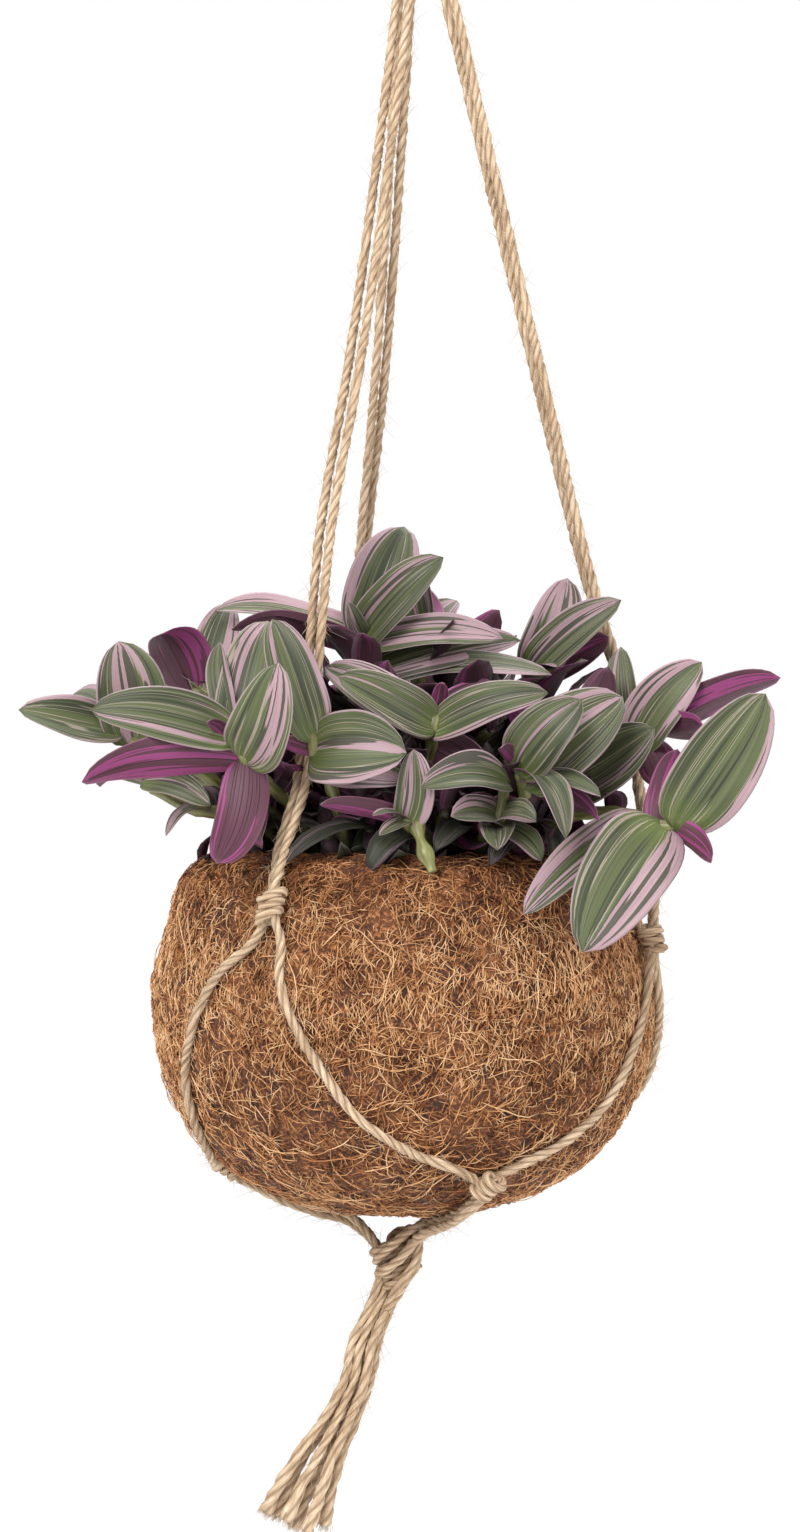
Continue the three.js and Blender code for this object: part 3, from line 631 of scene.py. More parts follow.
# Each cord's leg and side of it, lower knot and side of it, column of netTurn and tassel strand.
cordRuns = [
    ("front", -1, "left", 1, 2, 1), ("back", -1, "left", -1, 1, 2), ("right", -1, "back", -1, 1, 4),
    ("back", 1, "back", 1, 1, 3), ("front", 1, "front", -1, 1, 5), ("right", 1, "front", 1, 1, 6),
]


def cordRoute(leg, legSign, lower, lowerSign, column, strand):
    # The leg shifted to its side of the pair, the shoulder knot, the net cord round the ball, the
    # lower knot, the under cord, the bottom knot and a strand of the tassel.
    top, foot = np.array(legSpread[leg], float)
    share = np.linspace(0, 1, len(legRoutes[leg]) + 1)[:-1, None]
    beside = unit(top + (foot - top) * share) * legSign * hanger["legOffset"]
    route = [*(np.array(legRoutes[leg]) + beside), shoulderKnots[leg] + 0.5 * beside[-1]]
    start, height = shoulders[leg]
    azimuth = lowers[lower][0]
    turn = (azimuth - start + 180) % 360 - 180
    for row in netTurn:
        if row[0] < height - 8:
            route.append(offBall(start + turn * row[column] + np.sign(turn) * 1.5, row[0], 2.4))
    aside = polar(azimuth + 90, 0.6, 0.8) * lowerSign * hanger["underOffset"]
    route.append(lowerKnots[lower] + 0.5 * aside)
    route += [polar(azimuth, radius, z) + aside for radius, z in underCourse]
    row = -1 if strand % 2 else 1
    end = tasselEnds[strand - 1]
    heights = tasselCourse[:, 0]
    across = tasselCourse[:, 1 + (strand - 1) // 2] + row * tasselCourse[:, 4]
    stray = np.random.default_rng(strand).normal(0, 0.25, (len(heights), 2))
    for (strayX, strayY), z in zip(stray, [*heights[heights > end + 4], end]):
        x = np.interp(-z, -heights, across) + strayX
        route.append(np.array([x, hanger["underOffset"] * row + strayY, z]))
    return route


def plyRadius(angle, radius):
    # The outline of three overlapping plies: b cos a + root(c^2 - b^2 sin^2 a), a counted from
    # the nearest ply's middle. The plies are soft, so b is small.
    nearest = (angle + np.pi / 3) % (2 * np.pi / 3) - np.pi / 3
    b, c = 0.37 * radius, 0.63 * radius
    return b * np.cos(nearest) + np.sqrt(c**2 - (b * np.sin(nearest)) ** 2)


def twistedCord(path, distance, diameter, seed, tail=0.0):
    # Rings of the ply outline that turn along the path, with each ply a little uneven. Over the
    # length of its tail the cord is twisted two thirds as much, and it swells at its cut end.
    sides = hanger["sides"]
    angle = 2 * np.pi * np.arange(sides) / sides
    drift = softNoise(np.stack([distance / 17, 0 * distance, 0 * distance], -1), 1.0, seed + 500)
    turns = (distance - np.maximum(distance - (distance[-1] - tail), 0) / 3) / hanger["pitch"]
    turn = 2 * np.pi * (turns + hanger["wander"] * drift)[:, None]
    _, across, third = framesCarried(path)
    places = np.broadcast_arrays(distance[:, None] / 3.5, 1.5 * np.cos(angle), 1.5 * np.sin(angle))
    uneven = softNoise(np.stack(places, -1), 1.0, seed)
    radius = plyRadius(angle, diameter / 2) * (1 + hanger["unevenness"] * uneven)
    if tail:
        nearEnd = np.clip((distance - distance[-1] + 34) / 30, 0, 1) ** 1.5
        radius = radius * (1 + hanger["endSwell"] * nearEnd)[:, None]
    ring = circled(across[:, None], third[:, None], (angle + turn)[..., None])
    return path[:, None] + radius[..., None] * ring


cordPaths = []  # of every cord, its points and the distances along it


def cordPiece(name, route, seed, tail, nodes):
    # A twisted cord along a route, as one piece that stands for nodes of the part.
    path, distance = smoothCurve(route, hanger["ringSpacing"])
    rings = twistedCord(path, distance, hanger["cordDiameter"], seed, tail)
    piece = tubeMesh(name, [tubes(rings[None], distance / 10, (0.0, 0.75, seed))], [juteMaterial])
    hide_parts(*nodes)
    cordPaths.append((path, distance))


for number, run in enumerate(cordRuns, 1):
    leg, legSign, lower, lowerSign, _, strand = run
    side, under = (2 if sign > 0 else 1 for sign in (legSign, lowerSign))
    nodes = (f"leg_cord_{leg}_{side}", f"net_cord_{leg}_to_{lower}", f"under_cord_{lower}_{under}",
             f"tassel_strand_{strand}")
    cordPiece(f"hanger_cord_{number}", cordRoute(*run), number, hanger["looseEnd"], nodes)

# The hanging loop: y of its three cords, and half its width, middle and height of its bend.
loop = {"offsets": (-3.9, 0, 3.9), "radius": 8.0, "middle": -6.0, "height": 7.8}


def loopRoute(y):
    # Up from the top knot, over half a circle raised by the cord's radius, and down.
    route = [(4.5, y * 0.8, -38), (6.5, y, -28), (9.5, y, -18)]
    for angle in range(0, 181, 30):
        turn = math.radians(angle)
        across = loop["radius"] * math.cos(turn) + 0.25 * (1 - angle / 90)
        route.append((across, y, loop["middle"] + loop["height"] * math.sin(turn)))
    return route + [(-6, y, -18), (0, y, -28), (3.5, y * 0.8, -38)]


for number, y in enumerate(loop["offsets"], 1):
    cordPiece(f"hanging_loop_{number}", loopRoute(y), 20 + number, 0, [f"loop_cord_{number}"])

# Knots

# Middle, axis, radius and length of the coil, turns, strands, lean in degrees, azimuth of its start.
knots = {
    "top_knot": ((4, 0, -37), (0, 0, 1), 7.4, 21, 1.1, 6, 14, 255),
    "bottom_knot": ((-2.4, 0, -519.5), (-0.25, 0, 1), 6.5, 14, 1.1, 5, -14, 262),
}
for side, (azimuth, z) in shoulders.items():
    axis = polar(azimuth, -slopeAt(z), 1)
    lean = 12 if side == "right" else -26
    knots[f"shoulder_knot_{side}"] = (shoulderKnots[side], axis, 3.1, 9.4, 1.12, 3, lean, azimuth + 248)
for side, (azimuth, z) in lowers.items():
    axis = polar(azimuth, -slopeAt(z), 1) + polar(azimuth + 90, 0.8, 0)
    coil, lean = (2.8, -12) if side == "front" else (2.6, 4)
    knots[f"lower_knot_{side}"] = (lowerKnots[side], axis, coil, 7.4, 1.06, 3, lean, azimuth + 248)
# Turns of the bottom knot that stand out at the front: the front pair crosses over its top and down
# to its left, and two cords come down its right into the tassel.
knotCurls = [
    [(15, -21.5, -502.6), (11.4, -18.8, -504.2), (7, -13.6, -505.4), (1.5, -11.4, -508.6),
     (-4.2, -10.8, -513.6), (-8.4, -8, -517.6), (-9.8, -3, -520), (-8, 2, -521.5)],
    [(13, -23, -505.8), (9.2, -20, -507.4), (7.4, -14, -509), (3.4, -12, -512.6),
     (-0.6, -11.8, -517.2), (-5.2, -10.2, -521.4), (-8.8, -5.4, -524), (-8.6, 0, -525.4)],
    [(3.6, -1, -508.4), (4.9, -6.2, -511), (5.1, -9.4, -515.6), (3.4, -10.6, -520.6),
     (-0.4, -8.8, -526), (-3.6, -5.2, -531.4), (-6.2, -2.4, -537)],
    [(2, 3, -509), (4.8, 0, -512), (5, -4.5, -517), (3.4, -7, -522.4), (0, -6.6, -528),
     (-3, -4.4, -533), (-5.8, -2, -538)],
]


def wrappedPaths(middle, axis, coil, length, turns, strands, lean, start):
    # Strands side by side that wind round the knot's axis as helices in a leaning plane, with both
    # ends drawn in towards its middle.
    axis = unit(np.array(axis, float))
    out = unit(np.cross(axis, (0.02, 1, 0.03)))
    third = np.cross(axis, out)
    share = np.linspace(0, 1, int(70 * turns))[::4]
    angle = np.radians(start) + 2 * np.pi * turns * share
    inward = 1 - 0.75 * np.clip((np.abs(2 * share - 1) - 0.82) / 0.18, 0, 1) ** 2
    tilt = np.tan(np.radians(lean)) * coil * np.cos(angle) * inward
    paths = []
    for i in range(strands):
        offset = (i - (strands - 1) / 2) * hanger["cordDiameter"] * 0.92
        climb = offset + (share - 0.5) * (length - hanger["cordDiameter"] * strands * 0.6)
        reach = coil * inward * (1 + 0.05 * i * (-1) ** i)
        around = circled(out, third, angle[:, None]) * reach[:, None]
        paths.append(np.array(middle) + around + axis * (climb + tilt)[:, None] * inward[:, None])
    return paths


for seed, (knotName, knot) in enumerate(knots.items(), 40):
    batches = []
    for i, course in enumerate(wrappedPaths(*knot) + (knotCurls if knotName == "bottom_knot" else [])):
        path, distance = smoothCurve(course, 0.8)
        rings = twistedCord(path, distance, hanger["cordDiameter"] * 0.95, seed + 7 * i)
        batches.append(tubes(rings[None], distance / 10, (-0.02, 0.75, seed + i)))
    piece = tubeMesh("wrapped_" + knotName, batches, [juteMaterial])
    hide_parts(knotName)
print("knots made")

# Loose fibres on the cords

fuzz = {"perCentimetre": 13.0, "length": (1.5, 7), "radius": 0.09, "rows": 3}
fray = {"fibres": 90, "reach": 11, "radius": 0.15, "rows": 5}


def surfaceDirections(path, pick, draw):
    # At picked points of a cord, its direction and a random one square to it.
    tangent, across, third = framesCarried(path)
    return tangent[pick], circled(across[pick], third[pick], draw.uniform(0, 2 * np.pi, len(pick))[:, None])


def cordFuzz():
    # Hairs that leave a cord at a slant: start on the surface, then along, out and a bend sideways
    # that grows with the square of the distance.
    draw = np.random.default_rng(5)
    parts = []
    for path, distance in cordPaths:
        count = int(distance[-1] / 10 * fuzz["perCentimetre"])
        pick = draw.integers(2, len(path) - 2, count)
        tangent, out = surfaceDirections(path, pick, draw)
        along = tangent * draw.choice([-1, 1], count)[:, None]
        bend = np.cross(tangent, out) * draw.uniform(-1, 1, count)[:, None]
        parts.append((path[pick] + out * 1.2, along, out, bend))
    starts, alongs, outs, bends = (np.concatenate(x) for x in zip(*parts))
    count = len(starts)
    length = draw.uniform(*fuzz["length"], count)[:, None, None]
    s = np.linspace(0, 1, fuzz["rows"])[None, :, None]
    lift = draw.uniform(0.2, 0.9, count)[:, None, None]
    course = alongs[:, None] * s * 0.9 + outs[:, None] * lift * s**1.4 + bends[:, None] * 0.5 * s**2
    radius = fuzz["radius"] * (1.15 - s[..., 0]) * np.ones((count, 1))
    tones, seeds = draw.uniform(0.05, 0.25, count), draw.uniform(0, 50, count)
    return hairs(starts[:, None] + length * course, outs, radius, tones, seeds, 0.4)


def frayedEnds(path, draw):
    # A tassel strand ends in loose fibres: they start inside it, lean out with the square of the
    # distance and stop a little before or after its end.
    count = fray["fibres"]
    back = draw.uniform(2, fray["reach"], count)
    pick = len(path) - 2 - (back / hanger["ringSpacing"]).astype(int)
    tangent, out = surfaceDirections(path, pick, draw)
    start = path[pick] + out * draw.uniform(0.4, 1.5, count)[:, None]
    length = (back + draw.uniform(-1.5, 3.5, count))[:, None, None]
    s = np.linspace(0, 1, fray["rows"])[None, :, None]
    lean = draw.uniform(-0.05, 0.22, count)[:, None, None]
    side = np.cross(tangent, out) * draw.normal(0, 0.1, count)[:, None]
    course = tangent[:, None] * s + out[:, None] * lean * s**2 + side[:, None] * s**2
    radius = fray["radius"] * draw.uniform(0.6, 1.4, count)[:, None] * (1.2 - 0.7 * s[..., 0])
    tones, seeds = draw.uniform(-0.1, 0.2, count), draw.uniform(0, 50, count)
    return hairs(start[:, None] + length * course, out, radius, tones, seeds, 0.8)


frayDraw = np.random.default_rng(6)
frays = [frayedEnds(path, frayDraw) for path, _ in cordPaths[:len(cordRuns)]]
tubeMesh("cord_fuzz", [cordFuzz(), *frays], [juteMaterial])
print("cord fuzz made")

# Coconut fibre

coir = {
    "meridians": 200,  # round the ball
    # radius and height over the rim, from outside to inside
    "rimCourse": (
        (68.6, -376.4), (66.6, -375.6), (64.2, -375.0), (61.5, -374.6), (59.5, -375.2), (58.2, -377.0)),
    "roughness": ((9.0, 0.7), (3.2, 0.5), (1.6, 0.35)),  # size and height of the lumps
    # strands, segments, length, radius, curl over the length, lift, tone
    "strands": {
        "felt": (8700, 2, (3, 8), (0.13, 0.24), 0.3, (0.2, 1.1), (0.5, 0.95)),
        "tangle": (6900, 3, (4, 12), (0.13, 0.25), 0.6, (0.2, 1.5), (0.14, 0.86)),
        "straight": (7000, 2, (4, 11), (0.13, 0.23), 0.2, (0.2, 1.6), (0.15, 0.92)),
        "long": (460, 5, (12, 28), (0.16, 0.26), 0.5, (0.8, 2.4), (0.5, 0.95)),
        # The rim's strands have darker tones, as painted shade under the leaves.
        "rim": (2800, 3, (4, 10), (0.14, 0.26), 0.6, (0.2, 2.4), (0.12, 0.62)),
    },
    "wobble": 0.22,
    "feltHeight": (-424, 17, -470, -384),  # middle, spread and limits of where felt lies
    "rimHeight": (-392, -374.6),
    # painted shade on the strands: how much darker they are near the rim, under the leaves, and at the
    # bottom, away from the light
    "paintedShadeTop": 0.2,
    "paintedShadeBottom": 0.16,
}


def lathed(radius, z, meridians):
    # A profile turned round the ball's axis.
    azimuth = 360 * np.arange(meridians) / meridians
    return polar(azimuth[None], radius[:, None], z[:, None])


def shellPiece():
    # A lathe closed at both poles: up the outside, over the rim and down the inside, its outside
    # roughened by three sizes of noise, most at the rim.
    outR, outZ = evenProfile(104, 140)
    inR, inZ = evenProfile(24, 136, ball["wall"])
    rimR, rimZ = zip(*coir["rimCourse"])
    radius = np.concatenate([outR, rimR, inR[::-1]])
    z = np.concatenate([outZ, rimZ, inZ[::-1]])
    outside = len(outR) + len(rimR)
    rough = np.concatenate([1 + 1.4 * np.clip((z[:outside] + 386) / 8, 0, 1), np.full(len(inR), 0.2)])
    rings = lathed(radius, z, coir["meridians"])
    lumps = enumerate(coir["roughness"])
    height = sum(share * softNoise(rings, size, 60 + i) for i, (size, share) in lumps)
    rings = rings + unit(rings - ballMiddle) * (height * rough[:, None])[..., None]
    batch = tubes(rings[None], z / 100, (0.0, 0.0, 0.0))
    piece = tubeMesh("coir_shell_mat", [batch], [matMaterial])
    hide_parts("coir_shell")


def rimRadiusAt(z):
    # The shell's outer radius near its mouth, where it leaves the ball's profile for the rim.
    return np.where(z > -378, 72.1 - (z + 378) * 3.1, ballRadiusAt(z))


def strandBatch(kind, seed):
    # Strands laid on the ball: each starts at a random place, heads one way over the tangent
    # plane, turns steadily, and is dropped onto the surface with its middle lifted. Felt lies level
    # round the upper half, and the rim's strands spill a little over the edge.
    count, segments, lengths, radii, curl, lifts, tones = coir["strands"][kind]
    draw = np.random.default_rng(seed)
    r, z = evenProfile(400, 143)
    area = np.cumsum(r)
    index = np.arange(400)
    pick = np.interp(draw.uniform(0, area[-1], count), area, index)
    startZ = np.interp(pick, index, z)
    azimuth = draw.uniform(0, 360, count)
    start = polar(azimuth, np.interp(pick, index, r), startZ)
    if kind == "felt":
        middle, spread, lowest, highest = coir["feltHeight"]
        startZ = np.clip(draw.normal(middle, spread, count), lowest, highest)
        start = polar(azimuth, ballRadiusAt(startZ), startZ)
    if kind == "rim":
        startZ = draw.uniform(*coir["rimHeight"], count)
        start = polar(azimuth, rimRadiusAt(startZ), startZ)
    else:
        start = onBall(start, np.zeros(count))
    outward = unit(start - ballMiddle)
    across = unit(np.cross((0, 0, 1), outward))
    up = np.cross(outward, across)
    step = draw.uniform(*lengths, count)[:, None] / segments
    share = np.linspace(0, 1, segments + 1)
    heading = np.pi / 2 + draw.normal(0, 0.5, count) if kind == "felt" else draw.uniform(0, 2 * np.pi, count)
    turn = heading[:, None] + draw.normal(0, curl, count)[:, None] * share
    turn = turn + coir["wobble"] * np.sin(2 * np.pi * (share + draw.uniform(0, 1, count)[:, None]))
    x, y = (np.cumsum(move * step, axis=1) - step * move for move in (np.cos(turn), np.sin(turn)))
    flat = start[:, None] + across[:, None] * x[..., None] + up[:, None] * y[..., None]
    lift = draw.uniform(*lifts, count)[:, None] * (0.25 + 0.75 * np.sin(np.pi * share) ** 0.7) - 0.1
    paths = onBall(flat, lift)
    spill = draw.uniform(-1, 7 if kind == "rim" else 3, count)
    paths[..., 2] = np.minimum(paths[..., 2], ball["mouth"] + spill[:, None] * share)
    out = np.linalg.norm(paths[..., :2], axis=-1)
    least = np.where(paths[..., 2] > -384, rimRadiusAt(paths[..., 2]) + lift, 0)
    paths[..., :2] *= (np.maximum(out, least) / out)[..., None]
    thinner = 0.45 + 0.55 * np.sin(np.pi * np.clip(share, 0.04, 0.96)) ** 0.5
    radius = draw.uniform(*radii, count)[:, None] * thinner
    tone = draw.uniform(*tones, count)
    # Painted shade: strands are darker near the rim, under the leaves, and towards the bottom.
    tone = tone - coir["paintedShadeTop"] * np.clip((startZ + 392) / 18, 0, 1)
    tone = tone - coir["paintedShadeBottom"] * np.clip((-462 - startZ) / 40, 0, 1)
    return hairs(paths, outward, radius, tone, draw.uniform(0, 40, count), 2)


shellPiece()
for seed, kind in enumerate(coir["strands"], 70):
    tubeMesh(f"coir_strands_{kind}", [strandBatch(kind, seed)], [fibreMaterial])
print("coir made")

# Soil

soil = {
    "top": -384.0,
    "crumbs": 260,
    "crumbSize": (1.2, 3.4),
    "crumbReach": 55.0,
    "meridians": 72,
    # radius and height of its outline, from the bottom up
    "course": (
        (3, -492), (30, -489), (55, -480), (70, -465), (78, -445), (78, -430), (72, -412), (66, -398),
        (60.2, -388), (58, -386), (52, -385), (44, -384), (34, -384), (24, -384), (14, -384), (5, -384)),
}


def soilPiece():
    # A lathe inside the shell with a rough top, and crumbs: small lumps of four uneven rings.
    draw = np.random.default_rng(9)
    radius, z = np.array(soil["course"], float).T
    rings = lathed(radius, z, soil["meridians"])
    top = np.clip((z + 392) / 6, 0, 1)[:, None]
    rings[..., 2] += top * (1.6 * softNoise(rings, 9, 90) + 0.9 * softNoise(rings, 4, 91) - 0.5)
    ground = tubes(rings[None], z / 100, (0, 0, 0))
    count = soil["crumbs"]
    size = draw.uniform(*soil["crumbSize"], count)[:, None, None]
    azimuth = draw.uniform(0, 360, count)
    centre = polar(azimuth, soil["crumbReach"] * np.sqrt(draw.uniform(0, 1, count)), soil["top"] + 0.3)
    level = np.array([-0.8, -0.3, 0.35, 0.8])[None, :, None]
    angle = 2 * np.pi * np.arange(6)[None, None] / 6
    width = np.sqrt(1 - level**2) * size * draw.uniform(0.7, 1.2, (count, 4, 6))
    lump = np.broadcast_arrays(width * np.cos(angle), width * np.sin(angle), level * size * 0.8)
    crumbs = tubes(centre[:, None, None] + np.stack(lump, -1), np.arange(4) / 4, (0, 0, 0))
    piece = tubeMesh("potting_soil", [ground, crumbs], [soilMaterial])
    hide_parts("soil")


soilPiece()
print("soil made")

# Leafy stems

foliage = {
    # rings along a leaf and places of its points across it, for the stems at the front and the rest
    "fineGrid": (18, np.array([-1, -0.93, -0.66, -0.33, 0, 0.33, 0.66, 0.93, 1])),
    "coarseGrid": (8, np.array([-1, -0.5, 0, 0.5, 1])),
    "thickness": 0.55,
    "rootDepth": 1.4,
    "stemRadius": 2.5,
    "stemSides": 8,
    # lowest and highest brightness of the leaves; the low ones of fill, skirt and extra leaves are painted
    # shade deep in the foliage and over the rim
    "tones": {"own": (0.68, 0.88), "fill": (0.18, 0.4), "skirt": (0.06, 0.2), "extra": (0.1, 0.36)},
    # The dim stems of fill and skirt shoots are painted shade.
    "stemTones": {"own": 0.85, "fill": 0.25, "skirt": 0.25},
    "nod": (0.02, 0.09),  # how far a tip hangs down, as a share of the length
    "wave": 0.09,  # how far the margin waves, as a share of half the width
    "rootThickness": 1.2,
}


def leaf(pink, base, tip, width, face, bow=3, fold=18, sweep=0):
    # The share that is pink, below 0 if that is on the left, None for a random one; the leaf's start,
    # end and width, where its upper side faces, how far its midrib bows that way, how many degrees
    # its halves fold up and how far it bends sideways.
    return (pink, base, tip, width, face, bow, fold, sweep)


# Each stem: the points it grows through, from its root in the soil, and its leaves.
frontStems = {
    "far_left": (
        [(-34, -10, -396), (-48, -16, -368), (-72, -28, -346), (-90, -33, -338), (-101, -36, -331)],
        [(0.45, (-100, -36, -332), (-131, -50, -325), 18, (0, -0.9, 0.45), 2, 25, -1),
         (-0.5, (-92, -34, -337), (-98, -42, -302), 26, (0.1, -1, 0.15), 3, 16, 2),
         (0.5, (-98, -35, -333), (-118, -12, -318), 17, (-0.2, -0.4, 1))]),
    "low_left": (
        [(-34, -20, -396), (-46, -28, -368), (-62, -37, -361), (-74, -42, -359), (-88, -46, -351)],
        [(0.4, (-87, -46, -351), (-66, -62, -357), 12, (0, -0.8, 0.6)),
         (0.5, (-70, -43, -363), (-81, -54, -367), 5, (0, -0.6, 0.8)),
         (0.5, (-64, -39, -364), (-46, -66, -369), 16, (0.1, 1, 0.2)),
         (0.5, (-86, -45, -352), (-106, -28, -350), 15, (0, -0.4, 1))]),
    "left_front": (
        [(-24, -30, -396), (-33, -39, -368), (-40, -46, -357), (-48, -56, -349), (-54, -65, -341),
         (-58, -64, -333)],
        [(0.65, (-53, -65, -344), (-107, -92, -349), 18, (0.1, 0.85, 0.5), 6),
         (-0.5, (-54, -64, -343), (-62, -84, -378), 18, (0.1, 1, -0.3), 3, 14, 2),
         (0.45, (-57, -63, -335), (-104, -76, -325), 20, (0, -0.95, 0.35), 3, 14, 1),
         (-0.2, (-56, -63, -337), (-47, -50, -294), 21, (-0.2, -1, 0.2), 3),
         (0.08, (-53, -66, -341), (-42, -86, -311), 23, (0, -1, 0.35), 6, 18, 3),
         (0.7, (-58, -63, -333), (-64, -54, -302), 10, (-0.4, -0.9, 0.2), 2),
         (0.9, (-55, -65, -340), (-66, -74, -329), 6, (0, 1, 0.3), 2)]),
    "left_inner": (
        [(-14, -38, -396), (-20, -48, -369), (-25, -60, -351), (-30, -66, -340), (-31, -67, -333)],
        [(0.45, (-31, -67, -336), (-44, -66, -295), 19, (0.25, -1, 0), 2),
         (0.22, (-30, -67, -340), (0, -84, -340), 27, (0, -0.97, 0.25), 4, 14),
         (0.75, (-28, -64, -345), (1, -73, -348), 19, (0, -0.9, 0.4), 3, 14),
         (0.9, (-30, -66, -340), (-42, -76, -336), 6, (0, 1, 0.3), 2)]),
    "upper_left": (
        [(-24, -4, -396), (-34, -6, -362), (-54, -12, -332), (-67, -15, -321), (-74, -17, -318)],
        [(-0.9, (-74, -17, -318), (-84, -31, -298), 22, (0, 1, 0.3)),
         (0.9, (-70, -16, -320), (-62, -5, -287), 17, (-0.1, -1, 0.1)),
         (0.6, (-66, -14, -321), (-96, 4, -306), 18, (0, -0.3, 1), 4),
         (0.5, (-60, -13, -326), (-72, 16, -314), 17, (0, -0.2, 1), 4)]),
    "top_centre": (
        [(-4, -4, -396), (-8, -4, -350), (-12, -8, -318), (-14, -10, -300)],
        [(-0.5, (-14, -9, -301), (0, -2, -259), 25, (-0.1, -1, 0.1), 2),
         (0.35, (-14, -11, -300), (12, -27, -272), 19, (-0.2, -1, 0.4), 3),
         (0.6, (-14, -11, -300), (-19, -20, -288), 7, (0, -1, 0.4), 1),
         (-1.25, (-14, -10, -303), (33, -34, -299), 15, (0, -0.85, 0.5), 4),
         (0.95, (-14, -9, -302), (-66, -16, -289), 20, (0, -0.5, 0.87), 3, 26),
         (0.6, (-14, -11, -306), (-60, -34, -296), 13, (0, 0.75, 0.66), 6, 20),
         (0.9, (-12, -9, -311), (40, -22, -300), 17, (0, -0.9, 0.45), 4),
         (-0.8, (-12, -8, -316), (50, -38, -311), 16, (0, -0.6, 0.8), 4)]),
    "mid_centre": (
        [(8, -20, -396), (8, -28, -362), (9, -42, -343), (10, -50, -332), (11, -50, -326)],
        [(0.15, (10, -50, -331), (-21, -64, -314), 17, (0, -0.95, 0.3)),
         (0.25, (10, -50, -333), (47, -65, -319), 16, (0, -0.9, 0.4)),
         (0.7, (10, -48, -333), (-27, -44, -310), 18, (0, -0.9, 0.45)),
         (0.8, (11, -49, -329), (30, -40, -316), 13, (0, 1, 0.2), 2),
         (0, (9, -46, -338), (28, -52, -347), 17, (0, 1, 0.1), 2),
         (0.9, (11, -50, -328), (13, -57, -316), 6, (0, 1, 0.3), 2)]),
    "low_centre": (
        [(8, -42, -396), (7, -54, -371), (3, -66, -367), (0, -73, -362)],
        [(0.5, (1, -72, -363), (3, -79, -340), 14, (0, -1, 0.3), 2, 20, 1.5),
         (0.9, (1, -71, -364), (-28, -86, -357), 9, (0, 0.8, 0.6), 2),
         (0.6, (0, -73, -363), (-10, -83, -360), 5, (0, -0.5, 0.9), 1),
         (0.6, (1, -72, -364), (-8, -84, -367), 6, (0, -0.8, 0.6), 1)]),
    "low_right_inner": (
        [(22, -38, -396), (26, -53, -371), (31, -64, -366), (33, -66, -357), (34, -66, -351)],
        [(0.6, (34, -66, -351), (7, -84, -350), 17, (0, -0.85, 0.5), 4, 26),
         (0.45, (32, -65, -364), (16, -82, -361), 14, (0, -0.85, 0.5), 2, 26),
         (0.45, (32, -65, -363), (43, -80, -362), 13, (0, -0.8, 0.6), 2, 26),
         (0.5, (31, -64, -365), (31, -84, -371), 13, (0, -0.4, 0.9), 2),
         (0.5, (31, -63, -366), (46, -74, -376), 13, (0.2, -0.6, 0.8), 2)]),
    "low_right": (
        [(34, -26, -396), (38, -42, -368), (41, -56, -355), (39, -67, -346)],
        [(0.3, (39, -67, -346), (58, -80, -323), 21, (-0.1, -1, 0.3), 4, 14, -1),
         (0.25, (40, -61, -351), (73, -66, -321), 28, (0, -1, 0.35), 4, 14),
         (0.5, (39, -66, -347), (54, -92, -366), 13, (0.3, -0.6, 0.7), 6, 24),
         (0.5, (40, -62, -350), (65, -84, -354), 12, (0, -0.6, 0.8), 2, 32),
         (0.3, (41, -58, -354), (66, -78, -362), 15, (0, 0.7, 0.6), 3),
         (0.9, (39, -67, -346), (32, -77, -338), 6, (0, 1, 0.3), 2)]),
    "right_inner": (
        [(44, -12, -396), (53, -22, -364), (58, -36, -350), (60, -44, -342)],
        [(0.15, (57, -35, -351), (84, -60, -332), 23, (0, -0.95, 0.3), 3, 14, 2),
         (0.2, (60, -43, -343), (70, -34, -311), 17, (-0.1, 1, 0.1), 2),
         (0.4, (59, -41, -345), (36, -40, -322), 16, (0, 0.9, 0.4))]),
    "upper_right": (
        [(26, 2, -396), (34, 0, -350), (42, -4, -322), (45, -6, -310)],
        [(1.15, (43, -5, -311), (58, -4, -278), 19, (0, -1, 0.1), 2, 14, 2),
         (-0.75, (45, -6, -312), (74, -26, -287), 16, (-0.1, -1, 0.3), 3, 14, -1),
         (0.5, (44, -6, -316), (72, -13, -299), 14, (0.1, 1, 0.3), 2),
         (0.6, (44, -6, -314), (53, -22, -309), 6, (0, -0.4, 0.9), 2),
         (0.5, (44, -4, -315), (76, 14, -303), 17, (0, -0.3, 1), 4)]),
    "right": (
        [(42, -2, -396), (57, -10, -364), (70, -18, -347), (81, -25, -338), (92, -30, -330)],
        [(-0.5, (81, -25, -338), (102, -36, -309), 20, (-0.1, -1, 0.3), 3, 16, -2),
         (0.6, (79, -24, -339), (75, -22, -303), 13, (-0.3, -1, 0.1), 2),
         (0.75, (91, -30, -331), (129, -42, -313), 15, (0, 0.8, 0.6), 2),
         (0.3, (88, -28, -333), (104, -48, -332), 13, (0, 0.9, 0.4), 2),
         (0.4, (84, -27, -336), (90, -46, -351), 15, (0, 1, 0.1), 2),
         (0.5, (91, -29, -331), (120, -10, -322), 17, (0, -0.2, 1), 4)]),
    "right_front": (
        [(34, -16, -396), (46, -28, -368), (62, -42, -361), (76, -54, -361), (86, -63, -365),
         (92, -66, -365)],
        [(0.6, (92, -66, -365), (121, -76, -321), 28, (0.2, -1, 0.1), 4, 12),
         (0.2, (86, -63, -366), (92, -62, -339), 13, (-0.2, 1, 0), 2),
         (-0.35, (86, -64, -366), (59, -94, -405), 30, (0, -1, 0.25), 5, 12, 1.5),
         (0.6, (90, -65, -366), (103, -82, -376), 10, (0.2, 0.9, 0.4), 2),
         (0.8, (78, -56, -364), (40, -86, -392), 16, (-0.1, -0.9, 0.4), 2)]),
}
